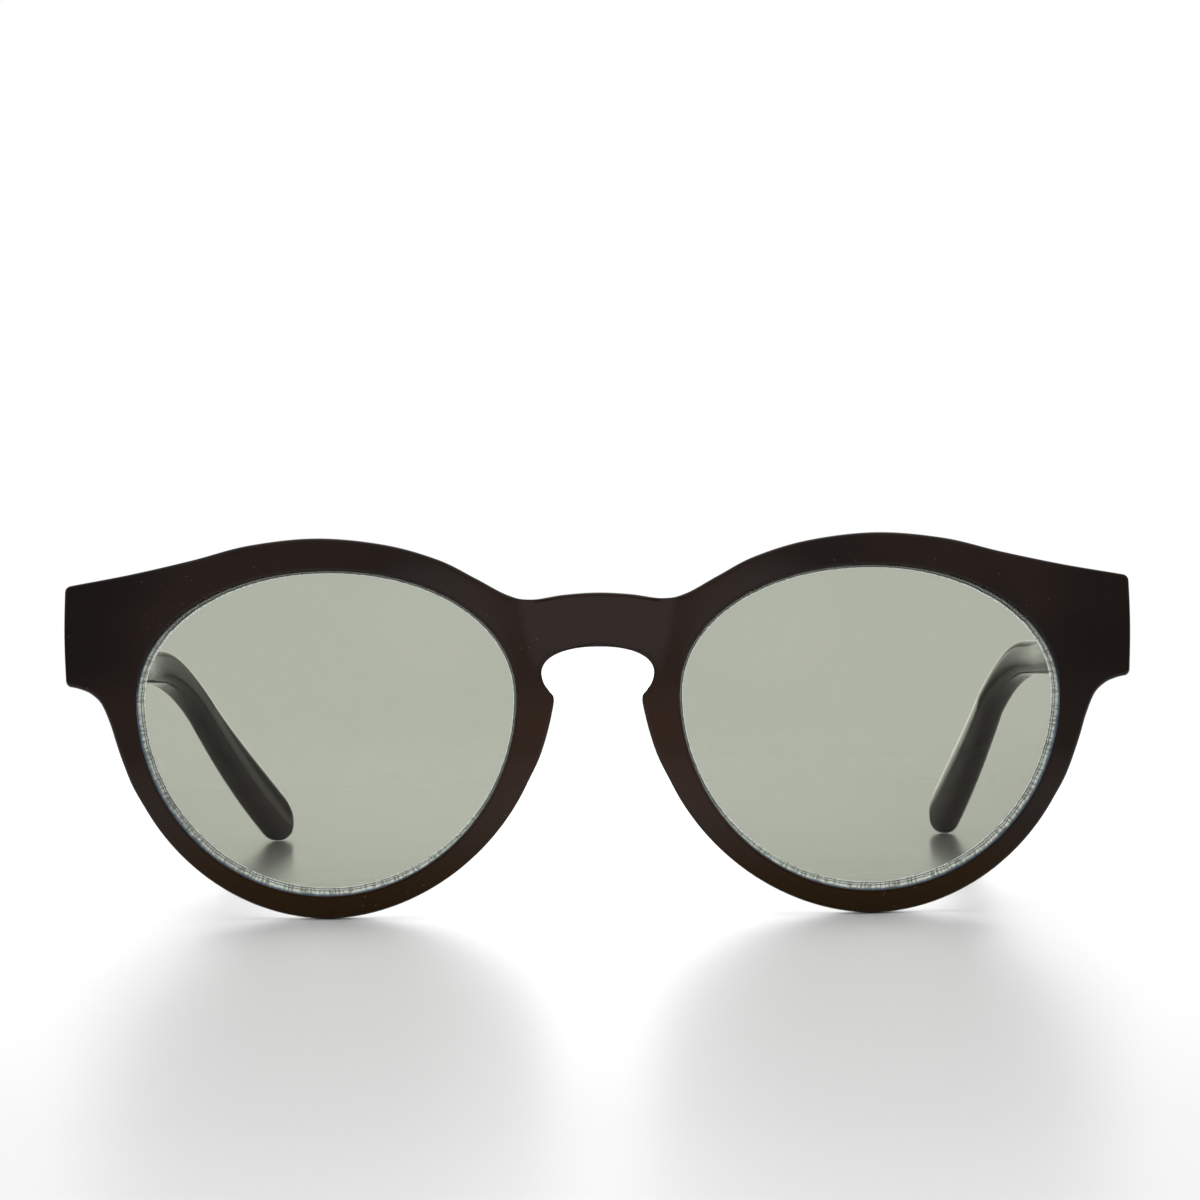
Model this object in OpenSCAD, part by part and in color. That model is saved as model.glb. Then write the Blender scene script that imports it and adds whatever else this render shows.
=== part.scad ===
// Round sunglasses with a keyhole bridge, standing open on the rims and on the temple tips.
// Left is the -X side and right the +X side. The front looks along -Y, the temples run to +Y.
// Every piece is worked out in the glasses' own square frame, where the temples run along Y and
// the hinges turn about Z. stand() then leans the whole pair onto the table, which is Z = 0.

/* [Front] */
// Overall width of the front across the end pieces
front_w = 142.8; // [136:0.2:152]
// Height of the front from the lowest point of the rims to the brow
front_h = 50.3; // [49:0.1:53]
// Thickness of the front at the rims
front_t = 4; // [3.4:0.1:5]
// Rounding of the long edges of the front
front_edge_r = 0.7; // [0.4:0.1:0.9]
// Radius of the curve that each eye of the front is bent to
eye_curve_r = 130; // [110:5:300]
// Angle at which each side of the front sweeps back
sweep_deg = 4; // [2:0.5:6]

/* [Lens openings] */
// Width of each lens opening
lens_w = 50.6; // [48:0.2:52]
// Height of each lens opening
lens_h = 43; // [41:0.2:44]
// Gap between the two lens openings at the bridge
bridge_gap = 21.4; // [20:0.2:23]
// Height of the widest level of the opening above its lowest point
widest_z = 26; // [24:0.5:27]
// Width of the rim below the lens
rim_bottom_w = 3; // [2.4:0.1:4]
// Width of the rim at the temple side
rim_side_w = 2.9; // [2.4:0.1:3.6]
// Width of the rim at the nose side
rim_nose_w = 4; // [3.4:0.1:4.4]

/* [Bridge] */
// Height of the top of the bridge above the bottom of the rims
bridge_top_z = 42.7; // [41.5:0.1:44.5]
// Height of the material of the bridge at its middle
bridge_h = 7.2; // [6:0.1:8]
// Half width of the round head of the keyhole
keyhole_half_w = 7.4; // [6.8:0.1:7.8]
// Half width of the keyhole at its narrow neck
neck_half_w = 5.8; // [5.2:0.1:6.4]
// Height of the narrow neck above the bottom of the rims
neck_z = 28.7; // [27.5:0.1:29.5]

/* [End pieces] */
// Height of the top outer corner of the end piece
end_top_z = 44.5; // [43:0.1:46]
// Height of the outer face of the end piece
end_h = 13.6; // [12:0.1:14.5]
// Thickness of the end piece at its outer face
end_t = 3.8; // [3.2:0.1:5]
// Rounding of the end piece's corners, seen from the front
end_corner_r = 0.9; // [0.9:0.1:2]

/* [Lenses] */
// Thickness of the lenses
lens_t = 2.2; // [1.8:0.1:2.2]
// Depth of the front of the lens behind the front of the rim
lens_set_back = 0.9; // [0.7:0.1:1]
// Depth of the groove that holds the lens
groove_d = 0.8; // [0.6:0.1:1]
// Gap between the edge of the lens and the bottom of the groove
lens_gap = 0.06; // [0.04:0.01:0.15]
// Width of the ground bevel that shows around the lens at the temple side and below
bevel_wide = 1; // [0.6:0.1:1.4]
// Width of the ground bevel that shows around the lens at the nose side and above
bevel_narrow = 0.45; // [0.3:0.05:0.6]

/* [Nose pads] */
// Height of a nose pad along the rim
pad_h = 13; // [9:0.5:15]
// Width of a nose pad
pad_w = 3.8; // [3:0.1:4.4]
// How far a nose pad stands out behind the front
pad_out = 3.6; // [2:0.1:5]

/* [Temples] */
// Thickness of the temples
temple_t = 3.9; // [3.4:0.1:4.6]
// Height of a temple at its thin part
temple_h = 5.2; // [4.6:0.1:6.5]
// Length over which a temple narrows behind the hinge
taper_len = 52; // [36:1:64]
// Straight length of a temple from the hinge end to the ear bend
straight_len = 67.5; // [65:0.5:80]
// Radius of the ear bend
bend_r = 50; // [16:1:60]
// Angle that the ear bend turns down
bend_deg = 31; // [27:1:42]
// Height of a temple at its tip
tip_h = 8.8; // [7:0.1:10]
// Length of the rounded end of the tip
tip_round = 4.5; // [3.5:0.5:7]
// Slope of the temples when the glasses stand on a table
stand_deg = 2.2; // [1:0.1:4]
// Inward lean of the left temple over its straight length
lean_in_left = 1.8; // [0:0.1:5]
// Inward lean of the right temple over its straight length
lean_in_right = 4.6; // [0:0.1:5]
// Inward bend of the left tip
toe_in_left = 14.5; // [2:0.5:16]
// Inward bend of the right tip
toe_in_right = 7.5; // [2:0.5:16]
// Diameter of the wire inside a temple
core_d = 1.4; // [1:0.1:1.8]
// Gap between the wire and its tunnel
core_gap = 0.05; // [0.03:0.01:0.1]

/* [Hinges] */
// Height of the whole hinge
hinge_h = 6; // [5:0.1:7]
// Outer diameter of the barrels
barrel_d = 2.8; // [2.4:0.1:3.2]
// Diameter of the screw's shank
screw_d = 1.4; // [1.2:0.1:1.5]
// Running gap between the screw and the barrels
screw_gap = 0.03; // [0.02:0.01:0.08]
// Gap between two barrels along the screw
barrel_gap = 0.06; // [0.04:0.01:0.12]
// Gap between the barrels and the plastic beside them
barrel_room = 0.2; // [0.15:0.05:0.3]
// Thickness of the hinge leaves
leaf_t = 1.1; // [0.8:0.1:1.2]
// Length of the front leaf
front_leaf_len = 4.2; // [3.5:0.1:4.6]
// Length of the temple leaf
temple_leaf_len = 10; // [7:0.5:12]

/* [Hidden] */
frame_colour = "#231b18";
lens_colour = "#abb0a1";
metal_colour = "#b9b9b4";
core_colour = "#c8c4b8";
$fn = 48;

// Places that follow from the sizes above
lens_x = (bridge_gap + lens_w) / 2;
widest_level = rim_bottom_w + widest_z;
opening_top = lens_h - widest_z;
half_w = front_w / 2;
end_bottom_z = end_top_z - end_h;
keyhole_top_z = bridge_top_z - bridge_h;
// The part of the front around which each eye is domed
dome_z = front_h / 2;
// How softly the two halves of the front meet at the middle
bridge_soft = 8;
// The back turns into the flat seat of an end piece over this width, just inside the opening's
// outer edge, so that the whole seat behind the end piece is flat
seat_blend = 3;
seat_x1 = lens_x + lens_w / 2 - 0.3;
seat_x0 = seat_x1 - seat_blend;
seat_z1 = end_bottom_z;
seat_z0 = seat_z1 - seat_blend;

// Depth of the front face behind the foremost plane
function face_y(x, z) =
  let (u = sqrt(x * x + bridge_soft * bridge_soft) - lens_x)
  (u * u + pow(z - dome_z, 2)) / (2 * eye_curve_r) + tan(sweep_deg) * u
  + pow(tan(sweep_deg), 2) * eye_curve_r / 2;

function share(v, v0, v1) = max(0, min(1, (v - v0) / (v1 - v0)));
function ramp(v, v0, v1) = let (t = share(v, v0, v1)) t * t * (3 - 2 * t);

// The temples butt against this plane
seat_y = face_y(half_w, (end_top_z + end_bottom_z) / 2) + end_t;

// Depth of the back face, which turns into the flat seat behind an end piece
function back_y(x, z) =
  let (w = ramp(abs(x), seat_x0, seat_x1) * ramp(z, seat_z0, seat_z1))
  (1 - w) * (face_y(x, z) + front_t) + w * seat_y;

// Edge of a lens opening at an angle seen from the middle of the widest level, grown by d
function opening(a, d) =
  let (
    up = sin(a) > 0,
    n = up ? 2.08 : 1.98,
    rx = lens_w / 2 + d,
    rz = (up ? opening_top : widest_z) + d,
    r = pow(pow(abs(cos(a)) / rx, n) + pow(abs(sin(a)) / rz, n), -1 / n)
  )
  [lens_x + r * cos(a), widest_level + r * sin(a)];

// A smooth curve through points, k steps to a stretch, aimed by one point before and one after
function curve(pts, k, before, after) =
  let (p = concat([before], pts, [after]))
  [
    for (i = [1:len(pts) - 1], j = [0:k - 1])
      let (u = j / k)
      0.5 * (2 * p[i] + (p[i + 1] - p[i - 1]) * u
        + (2 * p[i - 1] - 5 * p[i] + 4 * p[i + 1] - p[i + 2]) * u * u
        + (3 * p[i] - p[i - 1] - 3 * p[i + 1] + p[i + 2]) * u * u * u)
  ];

function arc(c, r, a0, a1, steps) =
  [for (i = [0:steps - 1]) let (a = a0 + (a1 - a0) * i / steps) c + r * [cos(a), sin(a)]];

// Bearing of a point from the middle of the opening; past the nose side it runs on below -180
function bearing(p, past) =
  let (a = atan2(p[1] - widest_level, p[0] - lens_x)) past && a > 0 ? a - 360 : a;

// The right half of the front's outline, from the top of the bridge round to the keyhole.
// Shares of the way from one named point to the next give the brow its swing.
dip = [8.8, bridge_top_z - 0.85];
peak = [lens_x + 1, front_h];
end_bow = 0.15;
end_slant = 0.2;
top_c = [half_w - end_bow - end_corner_r, end_top_z - end_corner_r];
low_c = [top_c[0] - end_slant, end_bottom_z + end_corner_r];
brow_end = top_c + end_corner_r * [cos(80), sin(80)];
rise = [[0.11, 0.08], [0.26, 0.35], [0.43, 0.64], [0.68, 0.885]];
fall = [[0.27, 0.14], [0.5, 0.46], [0.75, 0.76]];
brow_pts = concat(
  [[0, bridge_top_z], [dip[0] / 2, bridge_top_z - 0.25], dip],
  [for (s = rise) [dip[0] + s[0] * (peak[0] - dip[0]), dip[1] + s[1] * (peak[1] - dip[1])]],
  [peak],
  [for (s = fall) [peak[0] + s[0] * (brow_end[0] - peak[0]), peak[1] + s[1] * (brow_end[1] - peak[1])]],
  [brow_end]
);
brow = curve(brow_pts, 3, [-dip[0] / 2, bridge_top_z - 0.25], brow_end + [3, -0.6]);
side = [
  for (i = [0:3])
    let (s = i / 4)
    (1 - s) * top_c + s * low_c + [end_corner_r + end_bow * sin(180 * s), 0]
];

// The rim below the widest level, as slightly flattened ovals that share the opening's middle
function lower_rim(a, out, n) =
  [
    lens_x + sign(cos(a)) * (lens_w / 2 + out) * pow(abs(cos(a)), 2 / n),
    widest_level * (1 - pow(abs(sin(a)), 2 / n))
  ];
function rim_side(a) = lower_rim(a, rim_side_w, 1.94);
function rim_nose(a) = lower_rim(a, rim_nose_w, 1.9);
side_start = -30;
nose_start = 204;

// Below the notch the edge runs a little outside the oval and joins it by and by
below_notch = [half_w - 7.35, end_bottom_z - 7.7];
side_join = rim_side(-17) + [0.3, 0];
side_blend = rim_side(-23.5) + [0.2, 0];
notch_pts = [
  low_c + [0, -end_corner_r],
  [half_w - 2.6, end_bottom_z - 0.35],
  [half_w - 3.9, end_bottom_z - 0.95],
  [half_w - 5.3, end_bottom_z - 2.3],
  [half_w - 6.5, end_bottom_z - 5],
  below_notch,
  side_join
];
notch = curve(notch_pts, 2, low_c + [1, -end_corner_r], side_blend);
upper_side = curve([side_join, side_blend, rim_side(side_start)], 2, below_notch, rim_side(side_start - 7));
lower_side = [for (i = [0:9]) rim_side(side_start - (90 + side_start) * i / 10)];
lower_nose = [for (i = [0:9]) rim_nose(270 - (270 - nose_start) * i / 10)];
head_z = keyhole_top_z - 3.5;
nose_pts = [
  rim_nose(nose_start),
  [neck_half_w + 2.1, neck_z - 8],
  [neck_half_w + 1.15, neck_z - 5.3],
  [neck_half_w + 0.4, neck_z - 2.3],
  [neck_half_w, neck_z],
  [(neck_half_w + keyhole_half_w) / 2 - 0.15, (neck_z + head_z) / 2 - 0.35],
  [keyhole_half_w - 0.2, head_z - 0.75],
  [keyhole_half_w, head_z]
];
nose = curve(nose_pts, 2, rim_nose(nose_start + 7), [keyhole_half_w, head_z + 1]);
head = [
  for (i = [0:6])
    let (a = 90 * i / 7)
    [keyhole_half_w * pow(cos(a), 0.89), head_z + (keyhole_top_z - head_z) * pow(sin(a), 0.89)]
];
cut = [for (i = [0:3]) [0, keyhole_top_z + bridge_h * i / 4]];

// Each stretch of the outline shares out the bearings between its two ends evenly, so that the
// rows across the rim fan out from the opening
stretches = [
  brow, arc(top_c, end_corner_r, 80, 0, 3), side, arc(low_c, end_corner_r, 0, -90, 3),
  notch, upper_side, lower_side, lower_nose, nose, head, cut
];
first_below = 5;
outline = [for (s = stretches) each s];
starts = concat(
  [for (i = [0:len(stretches) - 1]) bearing(stretches[i][0], i >= first_below)],
  [bearing(outline[0], true)]
);
bearings = [
  for (i = [0:len(stretches) - 1], j = [0:len(stretches[i]) - 1])
    starts[i] + (starts[i + 1] - starts[i]) * j / len(stretches[i])
];
cols = len(outline);
cut_first = cols - len(cut);

// Outward direction of the outline at a column, seen from the front
function outward(i) =
  i == 0 ? [0, 1]
  : i == cut_first ? [0, -1]
  : i > cut_first ? [0, 0]
  : let (d = outline[(i + 1) % cols] - outline[i - 1]) [-d[1], d[0]] / norm(d);

// Section through the rim at one column, from the opening's front edge round to the groove
rim_edge = 0.35;
groove_slope = 0.2;
groove_mid = lens_set_back + lens_t / 2;
function section(i) =
  let (
    a = bearings[i],
    o = outline[i],
    n = outward(i),
    inner = opening(a, rim_edge),
    outer = o - front_edge_r * n,
    r45 = front_edge_r * (1 - sin(45)),
    mid = o - r45 * n,
    p0 = opening(a, 0),
    p1 = inner + (outer - inner) / 3,
    p2 = inner + (outer - inner) * 2 / 3,
    deep = opening(a, groove_d),
    f0 = face_y(p0[0], p0[1])
  )
  [
    [p0[0], f0 + rim_edge, p0[1]],
    [inner[0], face_y(inner[0], inner[1]), inner[1]],
    [p1[0], face_y(p1[0], p1[1]), p1[1]],
    [p2[0], face_y(p2[0], p2[1]), p2[1]],
    [outer[0], face_y(outer[0], outer[1]), outer[1]],
    [mid[0], face_y(mid[0], mid[1]) + r45, mid[1]],
    [o[0], face_y(o[0], o[1]) + front_edge_r, o[1]],
    [o[0], back_y(o[0], o[1]) - front_edge_r, o[1]],
    [mid[0], back_y(mid[0], mid[1]) - r45, mid[1]],
    [outer[0], back_y(outer[0], outer[1]), outer[1]],
    [p2[0], back_y(p2[0], p2[1]), p2[1]],
    [p1[0], back_y(p1[0], p1[1]), p1[1]],
    [inner[0], back_y(inner[0], inner[1]), inner[1]],
    [p0[0], back_y(p0[0], p0[1]) - rim_edge, p0[1]],
    [p0[0], f0 + groove_mid + groove_d + groove_slope, p0[1]],
    [deep[0], f0 + groove_mid, deep[1]],
    [p0[0], f0 + groove_mid - groove_d - groove_slope, p0[1]]
  ];
right_half = [for (i = [0:cols - 1]) each section(i)];
rows = 17;
// The rows that run along the outer edge, which the cut at the middle leaves out
edge_rows = [4, 8];

// Faces of a grid that closes on itself both ways, skipping what skip() names
function half_faces(flip, first) = [
  for (i = [0:cols - 1], j = [0:rows - 1])
    if (!(i >= cut_first && j >= edge_rows[0] && j <= edge_rows[1]))
      let (
        i1 = (i + 1) % cols,
        j1 = (j + 1) % rows,
        a = first + i * rows + j,
        b = first + i1 * rows + j,
        c = first + i1 * rows + j1,
        d = first + i * rows + j1
      )
      each (flip ? [[a, c, b], [a, d, c]] : [[a, b, c], [a, c, d]])
];

// The lean onto the table, and where the floor and the middle of the depth then lie
function lean(p) = [
  p[0],
  p[1] * cos(stand_deg) + p[2] * sin(stand_deg),
  p[2] * cos(stand_deg) - p[1] * sin(stand_deg)
];
floor_z = min([for (p = right_half) lean(p)[2]]);
front_y = min([for (p = right_half) lean(p)[1]]);

// Path of a temple seen from the side: straight, then the ear bend, then straight to the tip.
// The end of the tip is an oval, and its lowest point stands on the floor.
temple_step = 0.2;
temple_h0 = end_h - 2 * temple_step;
path_z = end_bottom_z + temple_step + temple_h / 2;
drop_deg = bend_deg + stand_deg;
tip_reach = norm([tip_round * sin(drop_deg), tip_h / 2 * cos(drop_deg)]);
bend_end = [
  seat_y + straight_len + bend_r * sin(bend_deg),
  path_z - bend_r * (1 - cos(bend_deg))
];
tip_len = (lean([0, bend_end[0], bend_end[1]])[2] - floor_z - tip_reach) / sin(drop_deg);
bend_len = bend_r * bend_deg * PI / 180;
temple_len = straight_len + bend_len + tip_len + tip_round;

// Point of the path and its downward turn at a distance s from the hinge end
function path_at(s) =
  s <= straight_len ? [seat_y + s, path_z, 0]
  : s <= straight_len + bend_len
    ? let (a = (s - straight_len) / bend_len * bend_deg)
      [
        seat_y + straight_len + bend_r * sin(a),
        path_z - bend_r * (1 - cos(a)),
        a
      ]
  : let (m = s - straight_len - bend_len)
    [bend_end[0] + m * cos(bend_deg), bend_end[1] - m * sin(bend_deg), bend_deg];

// Height of a temple at s, and how far its middle lies above the path
taper_power = 1.7;
function height_at(s) =
  let (
    narrow = temple_h + (temple_h0 - temple_h) * pow(1 - share(s, 0, taper_len), taper_power),
    widen = (tip_h - temple_h) * ramp(s, straight_len + bend_len / 2, temple_len - 1.6 * tip_round),
    past = share(s, temple_len - tip_round, temple_len)
  )
  (narrow + widen) * sqrt(1 - past * past);
function rise_at(s) = max(0, height_at(min(s, straight_len)) - temple_h) / 2;

// Sideways place of a temple's middle at s: square behind the hinge, then leaning in, and from
// the ear bend on also bent in towards the tip
outer_gap = 0.35;
lean_from = temple_leaf_len + 2;
lean_power = 1.15;
// The tips turn in from this far before the bend
toe_lead = 10;
toe_power = 1.7;
function side_at(s, lean_in, toe_in) =
  half_w - outer_gap - temple_t / 2
  - lean_in * pow(share(s, lean_from, straight_len + bend_len), lean_power)
  - toe_in * pow(share(s, straight_len - toe_lead, temple_len), toe_power);

// Thickness of a temple at s, drawn in to a blunt edge at the rounded end of the tip
blunt = 0.35;
function thick_at(s) =
  let (past = share(s, temple_len - tip_round / 2, temple_len))
  temple_t * (blunt + (1 - blunt) * sqrt(1 - past * past));

// Rounded four-sided ring of k points about the path at s
function ring(s, lean_in, toe_in, t, h, up, k, n) =
  let (p = path_at(s), x = side_at(s, lean_in, toe_in))
  [
    for (i = [0:k - 1])
      let (
        a = 360 * (i + 0.5) / k,
        cx = t / 2 * sign(cos(a)) * pow(abs(cos(a)), 2 / n),
        cz = h / 2 * sign(sin(a)) * pow(abs(sin(a)), 2 / n) + up
      )
      [x + cx, p[0] + cz * sin(p[2]), p[1] + cz * cos(p[2])]
  ];

function ring_faces(count, k) = concat(
  [for (i = [0:count - 2], j = [0:k - 1])
    let (a = i * k + j, b = i * k + (j + 1) % k)
    each [[a, b + k, a + k], [a, b, b + k]]],
  [for (j = [1:k - 2]) [0, j + 1, j]],
  [for (j = [1:k - 2]) let (e = (count - 1) * k) [e, e + j, e + j + 1]]
);

// Stations along a temple: close together at the taper, the bend and the end of the tip
temple_stations = concat(
  [for (i = [0:11]) taper_len * pow(i / 12, 1.2)],
  [for (i = [0:3]) taper_len + (straight_len - taper_len) * i / 4],
  [for (i = [0:9]) straight_len + bend_len * i / 10],
  [for (i = [0:8]) straight_len + bend_len + tip_len * i / 9],
  [for (i = [0:7]) temple_len - tip_round * (1 - sin(90 * i / 8))]
);
core_from = temple_leaf_len + barrel_d + 2;
core_stations = concat(
  [core_from],
  [for (s = temple_stations) if (s > core_from + 2 && s < temple_len - 2 * tip_round) s]
);

// Hinge axis, in the glasses' square frame
barrel_r = barrel_d / 2;
axis_x = half_w - outer_gap - temple_t - barrel_room - barrel_r;
axis_y = seat_y + barrel_room + barrel_r;
hinge_z = (end_top_z + end_bottom_z) / 2;
barrel_len = hinge_h / 5;
bore_d = screw_d + 2 * screw_gap;
// The leaves are sunk into the plastic and stand a little proud of it
leaf_proud = 0.2;
leaf_h = hinge_h + 1.6;
// The temple's inner face, and where its leaf starts behind the barrels
inner_x = axis_x + barrel_r + barrel_room;
leaf_start = axis_y + barrel_r + barrel_room;

// Depth of the pair once it stands on the table
back_reach = max([for (s = temple_stations)
  for (p = ring(s, lean_in_left, toe_in_left, thick_at(s), height_at(s), rise_at(s), 16, 4.5))
    lean(p)[1]]);
mid_y = (front_y + back_reach) / 2;

module stand() {
  translate([0, -mid_y, -floor_z]) rotate([-stand_deg, 0, 0]) children();
}

module mirrored(left) {
  mirror([left ? 1 : 0, 0, 0]) children();
}

// Plate of each hinge leaf; the plastic is cut away to exactly this shape
module front_plate() {
  translate([axis_x - front_leaf_len, seat_y - leaf_t + leaf_proud, hinge_z - leaf_h / 2])
    cube([front_leaf_len, leaf_t, leaf_h]);
}

module temple_plate() {
  translate([inner_x - leaf_proud, leaf_start, hinge_z - leaf_h / 2])
    cube([leaf_t, temple_leaf_len, leaf_h]);
}

module front_frame() {
  left_half = [for (p = right_half) [-p[0], p[1], p[2]]];
  color(frame_colour) stand() difference() {
    polyhedron(
      points = concat(right_half, left_half),
      faces = concat(half_faces(true, 0), half_faces(false, len(right_half))),
      convexity = 6
    );
    for (left = [true, false]) mirrored(left) front_plate();
  }
}

// Depths of the lens's two faces behind the front face of the rim
function lens_point(a, d, depth) =
  let (p = opening(a, d), q = opening(a, 0))
  [p[0], face_y(q[0], q[1]) + depth, p[1]];

// Share of the wide bevel at an angle: full at the temple side and below, none at the nose and top
function bevel_at(a) =
  bevel_narrow + (bevel_wide - bevel_narrow) * ramp(cos(a + 40), -0.6, 0.9);

lens_cols = 72;
lens_steps = [0.25, 0.5, 0.75];
function lens_ring(a) =
  let (
    w = bevel_at(a),
    inner = opening(a, -w),
    back = opening(a, -0.3),
    tip = opening(a, groove_d - lens_gap)
  )
  concat(
    [for (s = lens_steps) let (p = [lens_x, dome_z] + s * (inner - [lens_x, dome_z]))
      [p[0], face_y(p[0], p[1]) + lens_set_back, p[1]]],
    [[inner[0], face_y(inner[0], inner[1]) + lens_set_back, inner[1]]],
    [lens_point(a, groove_d - lens_gap, groove_mid)],
    [[back[0], face_y(back[0], back[1]) + lens_set_back + lens_t, back[1]]],
    [for (i = [2, 1, 0]) let (p = [lens_x, dome_z] + lens_steps[i] * (back - [lens_x, dome_z]))
      [p[0], face_y(p[0], p[1]) + lens_set_back + lens_t, p[1]]]
  );

module lens(left) {
  k = 9;
  rim = [for (i = [0:lens_cols - 1]) each lens_ring(360 * i / lens_cols)];
  n = lens_cols * k;
  mid = [lens_x, dome_z];
  y0 = face_y(lens_x, dome_z) + lens_set_back;
  color(lens_colour) stand() mirrored(left) polyhedron(
    points = concat(rim, [[lens_x, y0, dome_z], [lens_x, y0 + lens_t, dome_z]]),
    faces = [
      for (i = [0:lens_cols - 1])
        let (a = i * k, b = (i + 1) % lens_cols * k)
        each concat(
          [[n, b, a]],
          [for (j = [0:k - 2]) each [[a + j, b + j, b + j + 1], [a + j, b + j + 1, a + j + 1]]],
          [[n + 1, a + k - 1, b + k - 1]]
        )
    ],
    convexity = 4
  );
}

// A nose pad starts this far below the neck of the keyhole, is sunk this deep into the back face
// and leans by this angle to follow the rim
pad_below_neck = 0.5;
pad_sunk = 0.6;
pad_turn = 18;

// A soft oval pad behind the rim at the nose, sunk a little into the back face it is bonded to
module nose_pad(left) {
  pz = neck_z - pad_h / 2 - pad_below_neck;
  rim_edge_x = neck_half_w + 1.8;
  opening_x = lens_x - lens_w / 2 * sqrt(1 - pow((widest_level - pz) / widest_z, 2));
  px = (rim_edge_x + opening_x) / 2 + 0.1;
  color(frame_colour) stand() mirrored(left)
    translate([px, back_y(px, pz) - pad_sunk, pz]) rotate([0, -pad_turn, 0]) intersection() {
      scale([pad_w, 2 * (pad_out + pad_sunk), pad_h]) sphere(d = 1, $fn = 40);
      translate([-pad_w, 0, -pad_h]) cube([2 * pad_w, 2 * pad_out + 2, 2 * pad_h]);
    }
}

// One barrel with the web that joins it to its plate; i counts the five barrels from below
module barrel(i) {
  z0 = hinge_z - hinge_h / 2 + i * barrel_len + barrel_gap / 2;
  translate([axis_x, axis_y, z0]) cylinder(d = barrel_d, h = barrel_len - barrel_gap);
}

module web(i, from, to) {
  z0 = hinge_z - hinge_h / 2 + i * barrel_len + barrel_gap / 2;
  translate([from[0], from[1], z0]) cube([to[0] - from[0], to[1] - from[1], barrel_len - barrel_gap]);
}

module screw_bore() {
  translate([axis_x, axis_y, hinge_z - hinge_h]) cylinder(d = bore_d, h = 2 * hinge_h);
}

screw_head_d = screw_d + 0.8;
screw_head_h = 0.55;

module head_seat() {
  z0 = hinge_z + hinge_h / 2 - barrel_gap / 2 - screw_head_h;
  translate([axis_x, axis_y, z0]) cylinder(d = screw_head_d + 2 * screw_gap, h = 2 * screw_head_h);
}

module hinge_front(left) {
  color(metal_colour) stand() mirrored(left) difference() {
    union() {
      front_plate();
      for (i = [0, 2, 4]) {
        barrel(i);
        web(i, [axis_x - barrel_r, seat_y - leaf_t / 2], [axis_x, axis_y]);
      }
    }
    screw_bore();
    head_seat();
  }
}

module hinge_temple(left) {
  color(metal_colour) stand() mirrored(left) difference() {
    union() {
      temple_plate();
      for (i = [1, 3]) {
        barrel(i);
        web(i, [axis_x, axis_y], [inner_x, leaf_start + 1.5]);
      }
    }
    screw_bore();
  }
}

module hinge_screw(left) {
  z1 = hinge_z + hinge_h / 2 - barrel_gap / 2;
  z0 = hinge_z - hinge_h / 2 - 0.1;
  color(metal_colour) stand() mirrored(left) difference() {
    union() {
      translate([axis_x, axis_y, z0]) cylinder(d = screw_d, h = z1 - z0 - screw_head_h / 2);
      translate([axis_x, axis_y, z1 - screw_head_h + 0.02]) cylinder(d = screw_head_d, h = screw_head_h);
    }
    translate([axis_x, axis_y, z1 + 0.02]) rotate([0, 0, 30])
      cube([2 * screw_head_d, 0.35, 0.5], center = true);
  }
}

module temple(left) {
  lean_in = left ? lean_in_left : lean_in_right;
  toe_in = left ? toe_in_left : toe_in_right;
  k = 16;
  ck = 8;
  color(frame_colour) stand() mirrored(left) difference() {
    polyhedron(
      points = [for (s = temple_stations) each
        ring(s, lean_in, toe_in, thick_at(s), height_at(s), rise_at(s), k, 4.5)],
      faces = ring_faces(len(temple_stations), k),
      convexity = 6
    );
    polyhedron(
      points = [for (s = core_stations) each
        ring(s, lean_in, toe_in, core_d + 2 * core_gap, core_d + 2 * core_gap, rise_at(s), ck, 2)],
      faces = ring_faces(len(core_stations), ck),
      convexity = 4
    );
    temple_plate();
  }
}

module core_wire(left) {
  lean_in = left ? lean_in_left : lean_in_right;
  toe_in = left ? toe_in_left : toe_in_right;
  k = 8;
  color(core_colour) stand() mirrored(left) polyhedron(
    points = [for (s = core_stations) each
      ring(s, lean_in, toe_in, core_d, core_d, rise_at(s), k, 2)],
    faces = ring_faces(len(core_stations), k),
    convexity = 4
  );
}

front_frame();
lens(true);  // lens_left
lens(false);  // lens_right
nose_pad(true);  // nose_pad_left
nose_pad(false);  // nose_pad_right
hinge_front(true);  // hinge_front_left
hinge_front(false);  // hinge_front_right
hinge_temple(true);  // hinge_temple_left
hinge_temple(false);  // hinge_temple_right
hinge_screw(true);  // hinge_screw_left
hinge_screw(false);  // hinge_screw_right
temple(true);  // temple_left
temple(false);  // temple_right
core_wire(true);  // core_wire_left
core_wire(false);  // core_wire_right
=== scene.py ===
"""Round sunglasses with a keyhole bridge, finished around their packed solids."""

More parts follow.
